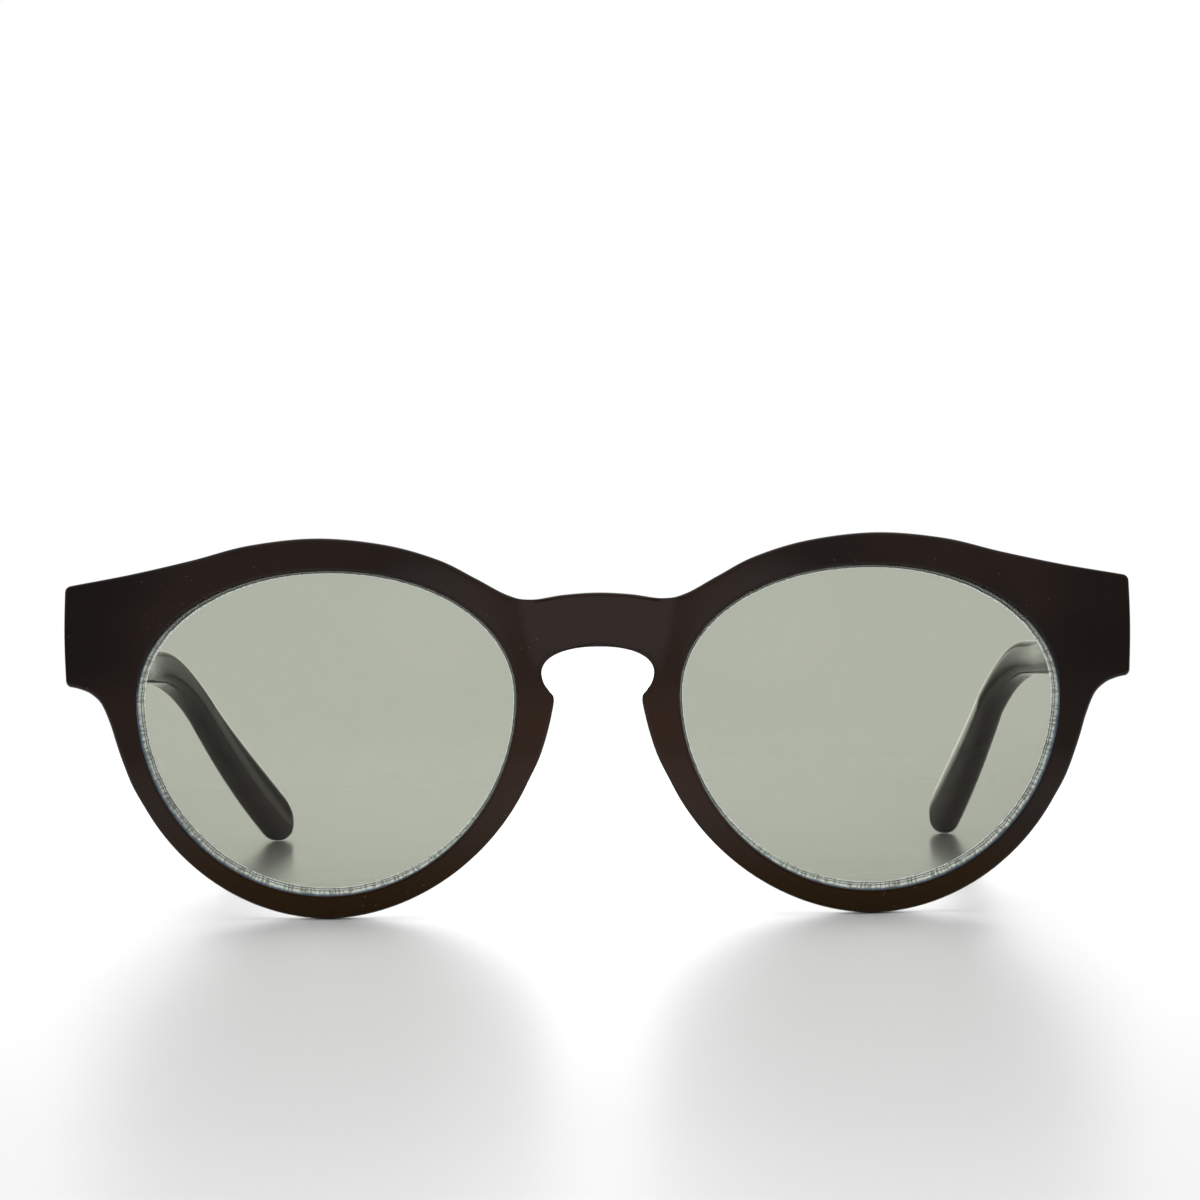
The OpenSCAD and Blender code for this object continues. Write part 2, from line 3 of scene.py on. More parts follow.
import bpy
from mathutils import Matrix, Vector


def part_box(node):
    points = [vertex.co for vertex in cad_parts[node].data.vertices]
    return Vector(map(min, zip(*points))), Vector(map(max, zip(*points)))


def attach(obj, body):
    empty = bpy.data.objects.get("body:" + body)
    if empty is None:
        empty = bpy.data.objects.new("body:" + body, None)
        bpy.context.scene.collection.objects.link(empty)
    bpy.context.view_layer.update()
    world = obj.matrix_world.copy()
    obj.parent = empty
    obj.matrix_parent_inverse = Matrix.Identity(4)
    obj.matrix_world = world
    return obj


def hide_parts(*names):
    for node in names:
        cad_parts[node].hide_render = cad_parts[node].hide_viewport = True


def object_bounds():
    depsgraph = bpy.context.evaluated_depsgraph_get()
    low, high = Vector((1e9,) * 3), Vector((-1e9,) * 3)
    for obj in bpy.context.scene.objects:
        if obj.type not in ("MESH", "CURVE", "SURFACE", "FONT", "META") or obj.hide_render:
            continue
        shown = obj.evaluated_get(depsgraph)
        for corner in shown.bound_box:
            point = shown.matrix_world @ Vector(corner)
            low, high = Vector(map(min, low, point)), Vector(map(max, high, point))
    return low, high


bl_info = {
    "name": "Round Sunglasses",
    "version": (1, 0, 0),
    "blender": (4, 5, 0),
    "location": "3D View > Sidebar > Sunglasses",
    "description": "Builds round keyhole sunglasses around their packed frame, piece by piece",
    "category": "Object",
}

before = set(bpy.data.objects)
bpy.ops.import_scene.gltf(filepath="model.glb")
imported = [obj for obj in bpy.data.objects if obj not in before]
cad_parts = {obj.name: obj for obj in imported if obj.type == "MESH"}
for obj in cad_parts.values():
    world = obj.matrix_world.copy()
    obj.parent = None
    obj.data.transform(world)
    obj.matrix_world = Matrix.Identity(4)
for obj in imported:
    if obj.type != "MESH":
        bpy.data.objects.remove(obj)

import math

import bmesh
import bpy
from bpy.props import FloatProperty, FloatVectorProperty, PointerProperty
from mathutils import Matrix, Vector

CAD_BOX = [list(corner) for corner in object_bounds()]
MM = 0.001
TRIM = 0.9996  # keeps the curved front just inside the packed one
SEW = 2e-6  # points nearer to each other than this, in metres, are made one
OUTER_GAP = 0.35  # from an end piece's outer side to the temple's, in millimetres
SCREW_HEAD = 0.55  # height of a screw's head, in millimetres
PROUD = 0.15  # how far a hinge leaf stands proud of the plastic, in millimetres
NOISE_SPAN = (0.3, 0.7)  # between these lie nearly all values of a noise


# Sizes, colours and strengths that the user can change


def length(name, text, mm, low, high):
    """A length that the user can change, kept in metres as Blender does."""
    return FloatProperty(
        name=name, description=text, default=mm * MM, min=low * MM, max=high * MM,
        unit="LENGTH", precision=5,
    )


def turn(name, text, degrees, low, high):
    """An angle that the user can change."""
    return FloatProperty(
        name=name, description=text, default=math.radians(degrees),
        min=math.radians(low), max=math.radians(high), subtype="ANGLE",
    )


def number(name, text, value, low, high):
    """A plain number that the user can change."""
    return FloatProperty(name=name, description=text, default=value, min=low, max=high)


def colour(name, text, rgb):
    """A colour that the user can change."""
    return FloatVectorProperty(
        name=name, description=text, default=rgb, size=3, min=0.0, max=1.0, subtype="COLOR"
    )


class FrontSizes(bpy.types.PropertyGroup):
    """Sizes of the front"""

    width: length("Width", "Overall width across the end pieces", 142.8, 136, 152)
    height: length("Height", "Height from the bottom of the rims to the brow", 50.3, 49, 53)
    thickness: length("Thickness", "Thickness of the front at the rims", 4.0, 3.4, 5)
    edge_round: length("Edge rounding", "Rounding of the long edges", 0.5, 0.4, 0.9)
    eye_curve: length("Eye curve", "Radius that each eye is domed to", 130, 110, 300)
    sweep: turn("Sweep", "How far each side sweeps back", 4, 2, 6)
    lens_width: length("Lens width", "Width of each lens opening", 50.6, 48, 52)
    lens_height: length("Lens height", "Height of each lens opening", 43, 41, 44)
    bridge_gap: length("Bridge gap", "Gap between the two openings", 21.4, 20, 23)
    widest: length("Widest level", "Height of the opening's widest level", 26, 24, 27)
    rim_below: length("Rim below", "Width of the rim below the lens", 3, 2.4, 4)
    rim_outside: length("Rim outside", "Width of the rim at the temple side", 2.9, 2.4, 3.6)
    rim_nose: length("Rim at the nose", "Width of the rim at the nose side", 4, 3.4, 4.4)
    bridge_top: length("Bridge top", "Height of the top of the bridge", 42.7, 41.5, 44.5)
    bridge_height: length("Bridge height", "Height of the bridge at its middle", 7.2, 6, 8)
    keyhole_half: length("Keyhole", "Half width of the keyhole's round head", 7.4, 6.8, 7.8)
    neck_half: length("Neck", "Half width of the keyhole's neck", 5.8, 5.2, 6.4)
    neck_level: length("Neck level", "Height of the keyhole's neck", 28.7, 27.5, 29.5)
    end_top: length("End piece top", "Height of the end piece's top corner", 44.5, 43, 46)
    end_height: length("End piece height", "Height of the end piece", 13.6, 12, 14.5)
    end_thickness: length("End piece thickness", "Thickness of the end piece", 3.8, 3.2, 5)
    end_corner: length("End piece corner", "Rounding of its corners", 0.9, 0.9, 2)
    facet_half: length("Bridge facet", "Half width of the flat on the bridge", 9.1, 6, 11)


class LensSizes(bpy.types.PropertyGroup):
    """Sizes of the lenses"""

    thickness: length("Thickness", "Thickness of the lenses", 2.2, 1.8, 2.2)
    set_back: length("Set back", "Depth of the lens behind the rim's front", 0.9, 0.7, 1)
    groove: length("Groove", "Depth of the groove in the rim", 0.8, 0.6, 1)
    gap: length("Gap", "Gap at the bottom of the groove", 0.06, 0.04, 0.15)
    bevel_wide: length("Wide bevel", "Ground bevel at the temple side", 1.15, 0.6, 1.4)
    bevel_narrow: length("Narrow bevel", "Ground bevel at the nose side", 0.48, 0.3, 0.6)


class PadSizes(bpy.types.PropertyGroup):
    """Sizes of the nose pads"""

    height: length("Height", "Height of a pad along the rim", 13, 9, 15)
    width: length("Width", "Width of a pad", 3.8, 3, 4.4)
    stands_out: length("Stands out", "How far a pad stands out behind", 3.6, 2, 5)


class TempleSizes(bpy.types.PropertyGroup):
    """Sizes of the temples"""

    thickness: length("Thickness", "Thickness of the temples", 3.9, 3.4, 4.6)
    height: length("Height", "Height at the thin part", 5.2, 4.6, 6.5)
    taper: length("Taper", "Length over which a temple narrows", 60, 36, 64)
    straight: length("Straight", "Length from the hinge end to the ear bend", 67.5, 65, 80)
    bend_radius: length("Bend radius", "Radius of the ear bend", 50, 16, 60)
    bend_angle: turn("Bend angle", "How far the ear bend turns down", 31, 27, 42)
    tip_height: length("Tip height", "Height at the tip", 8.8, 7, 10)
    tip_round: length("Tip rounding", "Length of the rounded end", 4.5, 3.5, 7)
    stand: turn("Slope", "Slope of the temples on a table", 2.2, 1, 4)
    lean_left: length("Left lean", "Inward lean of the left temple", 1.8, 0, 5)
    lean_right: length("Right lean", "Inward lean of the right temple", 4.6, 0, 5)
    toe_left: length("Left toe-in", "Inward bend of the left tip", 14.5, 2, 16)
    toe_right: length("Right toe-in", "Inward bend of the right tip", 7.5, 2, 16)
    wire: length("Wire", "Diameter of the wire inside", 1.4, 1, 1.8)


class HingeSizes(bpy.types.PropertyGroup):
    """Sizes of the hinges"""

    height: length("Height", "Height of the five barrels", 6, 5, 7)
    barrel: length("Barrel", "Diameter of the barrels", 2.8, 2.4, 3.2)
    screw: length("Screw", "Diameter of the screw's shank", 1.4, 1.2, 1.5)
    room: length("Room", "Gap between the barrels and the plastic", 0.2, 0.15, 0.3)
    leaf: length("Leaf", "Thickness of the leaves", 1.1, 0.8, 1.2)
    front_leaf: length("Front leaf", "Length of the leaf on the front", 4.2, 3.5, 4.6)
    temple_leaf: length("Temple leaf", "Length of the leaf on the temple", 10, 7, 12)


class Finishes(bpy.types.PropertyGroup):
    """Colours of the finishes"""

    acetate: colour("Acetate", "Deep tone of the front and temples", (0.0150, 0.0090, 0.0070))
    acetate_warm: colour("Warm cloud", "Warmer cloud in the acetate", (0.038, 0.0190, 0.0115))
    # Painted light: this warmer tone near the table stands in for the table's light on the low rims.
    acetate_low: colour("Low tone", "Tone of the acetate near the table", (0.0145, 0.0048, 0.0006))
    dust: colour("Dust", "Fine dust that lies on the acetate", (0.16, 0.14, 0.12))
    lens: colour("Lens", "Tint of the lenses", (0.330, 0.347, 0.289))
    # The ground bevel's bright and dark lines are painted light and shade on its facets.
    bevel_light: colour("Bevel light", "Bright lines of the ground bevel", (0.36, 0.40, 0.375))
    bevel_dark: colour("Bevel dark", "Dark lines of the ground bevel", (0.011, 0.0105, 0.009))
    bevel_blue: colour("Bevel edge", "Cool edges of the ground bevel", (0.012, 0.042, 0.125))
    nickel: colour("Nickel", "Colour of the hinges and screws", (0.56, 0.55, 0.52))
    wire: colour("Wire", "Colour of the wire inside the temples", (0.58, 0.54, 0.46))
    table: colour("Table", "Colour of the table", (0.93, 0.93, 0.94))


class StageLook(bpy.types.PropertyGroup):
    """Camera and lamps"""

    distance: length("Distance", "Camera ahead of the front", 500, 300, 900)
    eye_level: length("Eye level", "Height of the camera above the table", 51, 20, 200)
    pitch: turn("Pitch", "How far the camera looks down", 1.11, -5, 20)
    roll: turn("Roll", "How far the camera is rolled", 0.65, -5, 5)
    focal: FloatProperty(
        name="Focal length", description="Focal length of the camera", default=114.21,
        min=20.0, max=300.0, unit="CAMERA",
    )
    lamps: number("Lamps", "Strength of all the lamps", 1.0, 0.0, 4.0)
    fill: number("Fill", "Even light on matt surfaces", 0.70, 0.0, 2.0)
    behind: number("Behind", "Brightness that polished faces see behind", 2.0, 0.0, 3.0)
    through: number("Through", "Brightness seen straight through the lenses", 1.33, 0.0, 3.0)
    ahead: number("Ahead", "Brightness that polished faces see ahead", 0.3, 0.0, 2.0)
    card: number("Card", "Extra brightness of the card straight ahead", 0.5, 0.0, 2.0)
    dim: number("Dim", "Brightness that polished faces see at the sides", 0.12, 0.0, 2.0)
    skyline: number("Skyline", "Extra brightness low down behind", 1.8, 0.0, 5.0)


GROUPS = {
    "sunglasses_front": FrontSizes,
    "sunglasses_lens": LensSizes,
    "sunglasses_pad": PadSizes,
    "sunglasses_temple": TempleSizes,
    "sunglasses_hinge": HingeSizes,
    "sunglasses_finish": Finishes,
    "sunglasses_stage": StageLook,
}


# Meshes


def piece(name, points, faces, finishes, kinds=None, sharp=30.0):
    """A mesh object from points in metres, smooth apart from edges sharper than an angle."""
    mesh = bpy.data.meshes.new(name)
    mesh.from_pydata(points, [], faces)
    for finish in finishes:
        mesh.materials.append(finish)
    if kinds:
        mesh.polygons.foreach_set("material_index", kinds)
    made = bpy.data.objects.new(name, mesh)
    bpy.context.scene.collection.objects.link(made)
    clean(mesh)
    mesh.polygons.foreach_set("use_smooth", [True] * len(mesh.polygons))
    mesh.set_sharp_from_angle(angle=math.radians(sharp))
    return made


def clean(mesh):
    """Sews doubled points, drops loose ones and points every face outwards."""
    work = bmesh.new()
    work.from_mesh(mesh)
    bmesh.ops.remove_doubles(work, verts=work.verts, dist=SEW)
    bmesh.ops.delete(work, geom=[v for v in work.verts if not v.link_faces], context="VERTS")
    bmesh.ops.recalc_face_normals(work, faces=work.faces)
    work.to_mesh(mesh)
    work.free()
    mesh.update()


def settle(made, body, node):
    """Puts a finished piece on its body, in place of the packed piece that it stands for."""
    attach(made, body)
    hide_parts(node)


# Outlines


def share(value, low, high):
    """How far value is from low to high, kept within 0 and 1."""
    return max(0.0, min(1.0, (value - low) / (high - low)))


def ramp(value, low, high):
    """share() with soft ends."""
    t = share(value, low, high)
    return t * t * (3 - 2 * t)


def compass(degrees):
    """Cosine and sine of an angle in degrees."""
    a = math.radians(degrees)
    return math.cos(a), math.sin(a)


def quarter(steps):
    """Cosine and sine at even steps over a quarter turn."""
    return [compass(90 * i / steps) for i in range(steps + 1)]


def arc(centre, radius, start, end, steps):
    """Points on an arc between two angles in degrees, without its last."""
    turns = [start + (end - start) * i / steps for i in range(steps)]
    return [Vector(centre) + radius * Vector(compass(a)) for a in turns]


def between(start, end, shares):
    """Points between two others, each at its share of the way across and of the way up."""
    return [Vector(a + s * (b - a) for a, b, s in zip(start, end, pair)) for pair in shares]


def curve(points, steps, before, after):
    """A smooth curve through points, aimed by one point before and one after, without its last."""
    p = [Vector(q) for q in (before, *points, after)]
    made = []
    for i in range(1, len(p) - 2):
        for j in range(steps):
            u = j / steps
            made.append(
                0.5 * (
                    2 * p[i] + (p[i + 1] - p[i - 1]) * u
                    + (2 * p[i - 1] - 5 * p[i] + 4 * p[i + 1] - p[i + 2]) * u**2
                    + (3 * p[i] - p[i - 1] - 3 * p[i + 1] + p[i + 2]) * u**3
                )
            )
    return made


# Shape of the front


class FrontShape:
    """The front in its own square frame, in millimetres, with the same rules as its solid."""

    end_bow = 0.15  # how far an end piece's side bulges
    end_slant = 0.2  # how far its lower corner lies inside its upper one
    brow_turn = 80  # where the brow meets the upper corner's arc, in degrees
    bridge_soft = 8.0  # half width over which one eye's dome turns into the other's
    seat_blend = 3.0  # run over which the back turns into the seat of the hinge
    seat_inside = 0.3  # how far inside the opening's outer side the seat is already flat
    lip = 0.35  # rounding of the opening's edges
    groove_slope = 0.2  # half the width of the groove's mouth less the groove's depth

    # The flat across the bridge gets wider upwards and ends in a soft edge.
    facet_slant = 0.17  # how much its half width grows for each millimetre up
    facet_down = 4  # how far below the bridge's top it has the half width that the sizes give
    facet_under = 4  # how far below the keyhole's neck it may reach
    facet_reach = 3  # how far beyond its edge the face may still be softened
    facet_soft = 0.09  # depth over which the edge is softened

    # Powers of the round outlines: 2 is an ellipse, more is squarer.
    opening_upper, opening_lower = 2.08, 1.98
    rim_side_power, rim_nose_power = 1.94, 1.9
    head_power = 0.89  # the keyhole's head, as the power of a cosine

    # The brow dips beside the bridge, peaks above the eye and falls to the end piece.
    dip_across, dip_down = 8.8, 0.85
    dip_half_down = 0.25  # depth of the dip half way to its lowest point
    peak_outside = 1  # from the middle of the eye out to the peak
    brow_aim = (3, -0.6)  # where the brow heads at the end piece
    climb = ((0.11, 0.08), (0.26, 0.35), (0.43, 0.64), (0.68, 0.885))
    fall = ((0.27, 0.14), (0.5, 0.46), (0.75, 0.76))

    # The notch's points, inwards from an end piece's side and down from its bottom.
    notch_points = ((2.6, 0.35), (3.9, 0.95), (5.3, 2.3), (6.5, 5), (7.35, 7.7))

    # Bearings on the rim, in degrees, with how far outside the rim's own curve a point lies.
    join_at, join_outside = -17, 0.3
    blend_at, blend_outside = -23.5, 0.2
    side_start, nose_start = -30, 204
    aim_turn = 7  # how far along the rim lies the point that aims a curve

    # The keyhole's points, outwards from its neck and up from the neck's level, then its head:
    # the height of the round part, and the shoulder inside and below where that starts.
    neck_points = ((2.1, -8), (1.15, -5.3), (0.37, -2.3), (0, 0.05), (0.62, 1.05))
    head_height = 3.5
    shoulder_in, shoulder_down = 0.3, 1.2

    # Steps along each stretch of the outline, and across the rim.
    corner_steps, side_steps, brow_steps, curve_steps = 6, 12, 12, 8
    rim_steps, head_steps, cut_steps = 44, 24, 12
    across_steps, edge_steps, lip_steps = 36, 6, 4

    def __init__(self, front, lens):
        for group, owner in ((front, ""), (lens, "lens_")):
            for key in group.__annotations__:
                value = getattr(group, key)
                setattr(self, owner + key, value if key == "sweep" else value / MM)
        self.middle = (self.bridge_gap + self.lens_width) / 2
        self.level = self.rim_below + self.widest
        self.above = self.lens_height - self.widest
        self.half = self.width / 2
        self.end_bottom = self.end_top - self.end_height
        self.keyhole_top = self.bridge_top - self.bridge_height
        self.dome = self.height / 2
        self.seat_outer = self.middle + self.lens_width / 2 - self.seat_inside
        end_middle = (self.end_top + self.end_bottom) / 2
        self.seat = self.bare_face(self.half, end_middle) + self.end_thickness
        self.groove_middle = self.lens_set_back + self.lens_thickness / 2

    def bare_face(self, x, z):
        """Depth of the domed front face without the flat across the bridge."""
        u = math.hypot(x, self.bridge_soft) - self.middle
        slope = math.tan(self.sweep)
        dome = (u * u + (z - self.dome) ** 2) / (2 * self.eye_curve)
        return dome + slope * u + slope**2 * self.eye_curve / 2

    def face(self, x, z):
        """Depth of the front face, with the flat that is filed across the bridge."""
        here = self.bare_face(x, z)
        edge = self.facet_half + self.facet_slant * (z - self.bridge_top + self.facet_down)
        if abs(x) > edge + self.facet_reach or z < self.neck_level - self.facet_under:
            return here
        flat = self.bare_face(edge, z)
        soft = self.facet_soft
        near = max(soft - abs(here - flat), 0) / soft
        return min(here, flat) - near * near * soft / 4

    def back(self, x, z):
        """Depth of the back face, which turns into the flat seat behind an end piece."""
        w = ramp(abs(x), self.seat_outer - self.seat_blend, self.seat_outer)
        w *= ramp(z, self.end_bottom - self.seat_blend, self.end_bottom)
        return (1 - w) * (self.bare_face(x, z) + self.thickness) + w * self.seat

    def opening(self, a, out):
        """Edge of a lens opening at an angle in degrees, grown outwards."""
        c, s = compass(a)
        power = self.opening_upper if s > 0 else self.opening_lower
        across = self.lens_width / 2 + out
        up = (self.above if s > 0 else self.widest) + out
        r = (abs(c / across) ** power + abs(s / up) ** power) ** (-1 / power)
        return Vector((self.middle + r * c, self.level + r * s))

    def lower_rim(self, a, out, power):
        """Outer edge of the rim below its widest level."""
        c, s = compass(a)
        reach = (self.lens_width / 2 + out) * abs(c) ** (2 / power)
        return Vector(
            (self.middle + math.copysign(reach, c), self.level * (1 - abs(s) ** (2 / power)))
        )

    def rim_side_edge(self, a):
        """Outer edge of the rim on the temple side."""
        return self.lower_rim(a, self.rim_outside, self.rim_side_power)

    def rim_nose_edge(self, a):
        """Outer edge of the rim on the nose side."""
        return self.lower_rim(a, self.rim_nose, self.rim_nose_power)

    def brow(self, end):
        """The top edge, from the middle of the bridge over the eye to the end piece."""
        top = self.bridge_top
        dip = Vector((self.dip_across, top - self.dip_down))
        peak = Vector((self.middle + self.peak_outside, self.height))
        points = [
            (0, top), (dip[0] / 2, top - self.dip_half_down), dip,
            *between(dip, peak, self.climb), peak, *between(peak, end, self.fall), end,
        ]
        before = (-dip[0] / 2, top - self.dip_half_down)
        return curve(points, self.brow_steps, before, end + Vector(self.brow_aim))

    def end_side(self, upper, lower):
        """An end piece's bowed side, between the centres of its two corners."""
        side = []
        for i in range(self.side_steps):
            s = i / self.side_steps
            bow = Vector((self.end_corner + self.end_bow * math.sin(math.pi * s), 0))
            side.append((1 - s) * upper + s * lower + bow)
        return side

    def notch(self, corner):
        """The notch under an end piece, then the side of the rim that it runs into."""
        under = corner + Vector((0, -self.end_corner))
        points = [(self.half - inside, self.end_bottom - down) for inside, down in self.notch_points]
        join = self.rim_side_edge(self.join_at) + Vector((self.join_outside, 0))
        blend = self.rim_side_edge(self.blend_at) + Vector((self.blend_outside, 0))
        side = self.rim_side_edge(self.side_start)
        below = self.rim_side_edge(self.side_start - self.aim_turn)
        steps = self.curve_steps
        return [
            curve([under, *points, join], steps, under + Vector((1, 0)), blend),
            curve([join, blend, side], steps, points[-1], below),
        ]

    def lower_edges(self):
        """The rim's lower edge, first on the temple side and then on the nose side."""
        side, nose, steps = self.side_start, self.nose_start, self.rim_steps
        return [
            [self.rim_side_edge(side - (90 + side) * i / steps) for i in range(steps)],
            [self.rim_nose_edge(270 - (270 - nose) * i / steps) for i in range(steps)],
        ]

    def keyhole(self):
        """The rim's nose side up through the keyhole's neck and shoulder, then its round head."""
        wide, head_z = self.keyhole_half, self.keyhole_top - self.head_height
        points = [(self.neck_half + out, self.neck_level + up) for out, up in self.neck_points]
        shoulder = (wide - self.shoulder_in, head_z - self.shoulder_down)
        start = self.rim_nose_edge(self.nose_start)
        before = self.rim_nose_edge(self.nose_start + self.aim_turn)
        nose = curve(
            [start, *points, shoulder, (wide, head_z)],
            self.curve_steps, before, (wide, head_z + 1),
        )
        head = []
        for i in range(self.head_steps):
            c, s = compass(90 * i / self.head_steps)
            rise = (self.keyhole_top - head_z) * s**self.head_power
            head.append(Vector((wide * c**self.head_power, head_z + rise)))
        return [nose, head]

    def stretches(self):
        """Right half of the outline, from the top of the bridge round to the keyhole."""
        r, steps = self.end_corner, self.cut_steps
        upper = Vector((self.half - self.end_bow - r, self.end_top - r))
        lower = Vector((upper[0] - self.end_slant, self.end_bottom + r))
        brow_end = upper + r * Vector(compass(self.brow_turn))
        cut = [Vector((0, self.keyhole_top + self.bridge_height * i / steps)) for i in range(steps)]
        return [
            self.brow(brow_end),
            arc(upper, r, self.brow_turn, 0, self.corner_steps),
            self.end_side(upper, lower),
            arc(lower, r, 0, -90, self.corner_steps),
            *self.notch(lower), *self.lower_edges(), *self.keyhole(), cut,
        ]

    def bearing(self, p, past):
        """Angle of a point seen from the eye's middle, counted on below -180 when it is past it."""
        a = math.degrees(math.atan2(p[1] - self.level, p[0] - self.middle))
        return a - 360 if past and a > 0 else a

    def columns(self):
        """Each column across the rim: bearing, outline point and outward direction."""
        parts = self.stretches()
        first_below = 5  # the stretch with which the outline goes below the eye's middle
        starts = [self.bearing(part[0], i >= first_below) for i, part in enumerate(parts)]
        starts.append(self.bearing(parts[0][0], True))
        outline = [p for part in parts for p in part]
        cut_first = len(outline) - len(parts[-1])
        bearings = [
            starts[i] + (starts[i + 1] - starts[i]) * j / len(part)
            for i, part in enumerate(parts) for j in range(len(part))
        ]
        made = []
        for i, p in enumerate(outline):
            if i == 0:
                out = Vector((0, 1))
            elif i == cut_first:
                out = Vector((0, -1))
            elif i > cut_first:
                out = Vector((0, 0))
            else:
                d = outline[(i + 1) % len(outline)] - outline[i - 1]
                out = Vector((-d[1], d[0])).normalized()
            made.append((bearings[i], p, out))
        return made, cut_first

    def section(self, a, p, out):
        """Points across the rim at one column, from the opening's front edge round again."""
        r, lip, steps = self.edge_round, self.lip, self.across_steps
        outer = p - r * out
        inner = self.opening(a, lip)
        lips = [(self.opening(a, lip * (1 - c)), lip * (1 - s)) for c, s in quarter(self.lip_steps)]
        flat = [(inner.lerp(outer, i / steps), 0) for i in range(1, steps)]
        edges = [(outer + r * s * out, r * (1 - c)) for c, s in quarter(self.edge_steps)]
        half = lips + flat + edges
        row = [(q[0], self.face(*q) + sunk, q[1]) for q, sunk in half]
        row += [(q[0], self.back(*q) - sunk, q[1]) for q, sunk in reversed(half)]
        first = len(half) - len(edges)
        last = len(half) + len(edges) - 1
        rim, deep = self.opening(a, 0), self.opening(a, self.lens_groove)
        base = self.bare_face(*rim) + self.groove_middle
        reach = self.lens_groove + self.groove_slope
        row.append((rim[0], base + reach, rim[1]))
        row.append((deep[0], base, deep[1]))
        row.append((rim[0], base - reach, rim[1]))
        return row, first, last


class Stand:
    """Leans square millimetre points onto the table, where the packed front stands."""

    def __init__(self, slope, front_points):
        self.c, self.s = math.cos(slope), math.sin(slope)
        self.shift = Vector((0, 0, 0))
        leaned = [self(p) for p in front_points]
        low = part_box("front_frame")[0]
        self.shift = Vector(
            (0, low[1] - min(p[1] for p in leaned), low[2] - min(p[2] for p in leaned))
        )

    def __call__(self, p):
        x, y, z = p[0] * MM * TRIM, p[1] * MM, p[2] * MM * TRIM
        return Vector((x, y * self.c + z * self.s, z * self.c - y * self.s)) + self.shift


def front_grid(shape):
    """Points and faces of the right half of the front, open where the left half meets it."""
    columns, cut_first = shape.columns()
    points = []
    for a, p, out in columns:
        row, first, last = shape.section(a, p, out)
        points += row
    rows, count = len(row), len(columns)
    faces = []
    for i in range(count):
        for j in range(rows):
            if i >= cut_first and first <= j < last:
                continue
            i1, j1 = (i + 1) % count, (j + 1) % rows
            faces.append((i * rows + j, i1 * rows + j, i1 * rows + j1, i * rows + j1))
    return points, faces


def shapes():
    """The front's shape and the stand that leans it, from the scene's own sizes."""
    scene = bpy.context.scene
    shape = FrontShape(scene.sunglasses_front, scene.sunglasses_lens)
    points, _ = front_grid(shape)
    return shape, Stand(scene.sunglasses_temple.stand, points)


# Finishes


class Nodes:
    """Short ways to add and wire the nodes of a material or of the surroundings."""

    def __init__(self, tree):
        self.nodes = tree.nodes
        self.links = tree.links

    def add(self, kind, **inputs):
        """A node of a kind; an input is given as a value or as another node's output."""
        node = self.nodes.new("ShaderNode" + kind)
        for key, value in inputs.items():
            self.feed(node, key.replace("_", " "), value)
        return node

    def feed(self, node, key, value):
        """Sets or links one input, which is named or, where names repeat, counted."""
        socket = node.inputs[int(key) if key.isdigit() else key]
        if isinstance(value, bpy.types.NodeSocket):
            self.links.new(value, socket)
        else:
            socket.default_value = value

    def spread(self, value, low, high, to_low=0.0, to_high=1.0, soft=False):
        """Stretches a value from one range to another and keeps it within that."""
        node = self.add("MapRange")
        node.interpolation_type = "SMOOTHSTEP" if soft else "LINEAR"
        for i, given in enumerate((value, low, high, to_low, to_high)):
            self.feed(node, str(i), given)
        return node.outputs["Result"]

    def math(self, kind, a, b=0.0):
        """The result of one Math node."""
        node = self.add("Math")
        node.operation = kind
        self.feed(node, "0", a)
        self.feed(node, "1", b)
        return node.outputs[0]

    def plus(self, a, b):
        return self.math("ADD", a, b)

    def times(self, a, b):
        return self.math("MULTIPLY", a, b)

    def vectors(self, kind, a, b=(0.0, 0.0, 0.0)):
        """The Vector Math node of a kind, fed with two vectors."""
        node = self.add("VectorMath")
        node.operation = kind
        self.feed(node, "0", a)
        self.feed(node, "1", b)
        return node

    def along(self, vector, way):
        """How far a vector points along a way."""
        return self.vectors("DOT_PRODUCT", vector, way).outputs["Value"]

    def blend(self, factor, a, b):
        """Mixes two colours."""
        node = self.add("Mix")
        node.data_type = "RGBA"
        self.feed(node, "0", factor)
        self.feed(node, "6", a)
        self.feed(node, "7", b)
        return node.outputs[2]


class Finish(Nodes):
    """A new material with its shader and patterns that stay on the piece."""

    def __init__(self, name):
        self.material = bpy.data.materials.new(name)
        self.material.use_nodes = True
        super().__init__(self.material.node_tree)
        self.shader = next(n for n in self.nodes if n.type == "BSDF_PRINCIPLED")

    def where(self):
        """The place on the piece, in metres."""
        return self.add("TexCoord").outputs["Object"]

    def place(self, scale, stretch=(1, 1, 1)):
        """The place on the piece, scaled to so many cells to the metre."""
        mapping = self.add("Mapping", Vector=self.where())
        mapping.inputs["Scale"].default_value = [scale * s for s in stretch]
        return mapping.outputs["Vector"]

    def noise(self, where, detail=2.0, roughness=0.5):
        """Clouds over a place, one to each unit of it."""
        node = self.add("TexNoise", Vector=where, Scale=1.0, Detail=detail, Roughness=roughness)
        return node.outputs["Fac"]

    def bump(self, height, strength, distance):
        """Lets a pattern raise the surface by up to a distance in metres."""
        node = self.add("Bump", Height=height, Strength=strength, Distance=distance)
        self.feed(self.shader, "Normal", node.outputs["Normal"])

    def colour_stops(self, value, stops):
        """A colour ramp through the given stops."""
        node = self.add("ValToRGB", Fac=value)
        bar = node.color_ramp
        while len(bar.elements) < len(stops):
            bar.elements.new(1.0)
        for element, (at, tone) in zip(bar.elements, stops):
            element.position = at
            element.color = tone
        return node.outputs["Color"]

    def set(self, **inputs):
        """Sets or links the shader's own inputs."""
        for key, value in inputs.items():
            self.feed(self.shader, key.replace("_", " "), value)


def shade(rgb, factor=1.0):
    """A colour, darkened or lightened by a factor, as a shader's four numbers."""
    return (*(c * factor for c in rgb), 1.0)


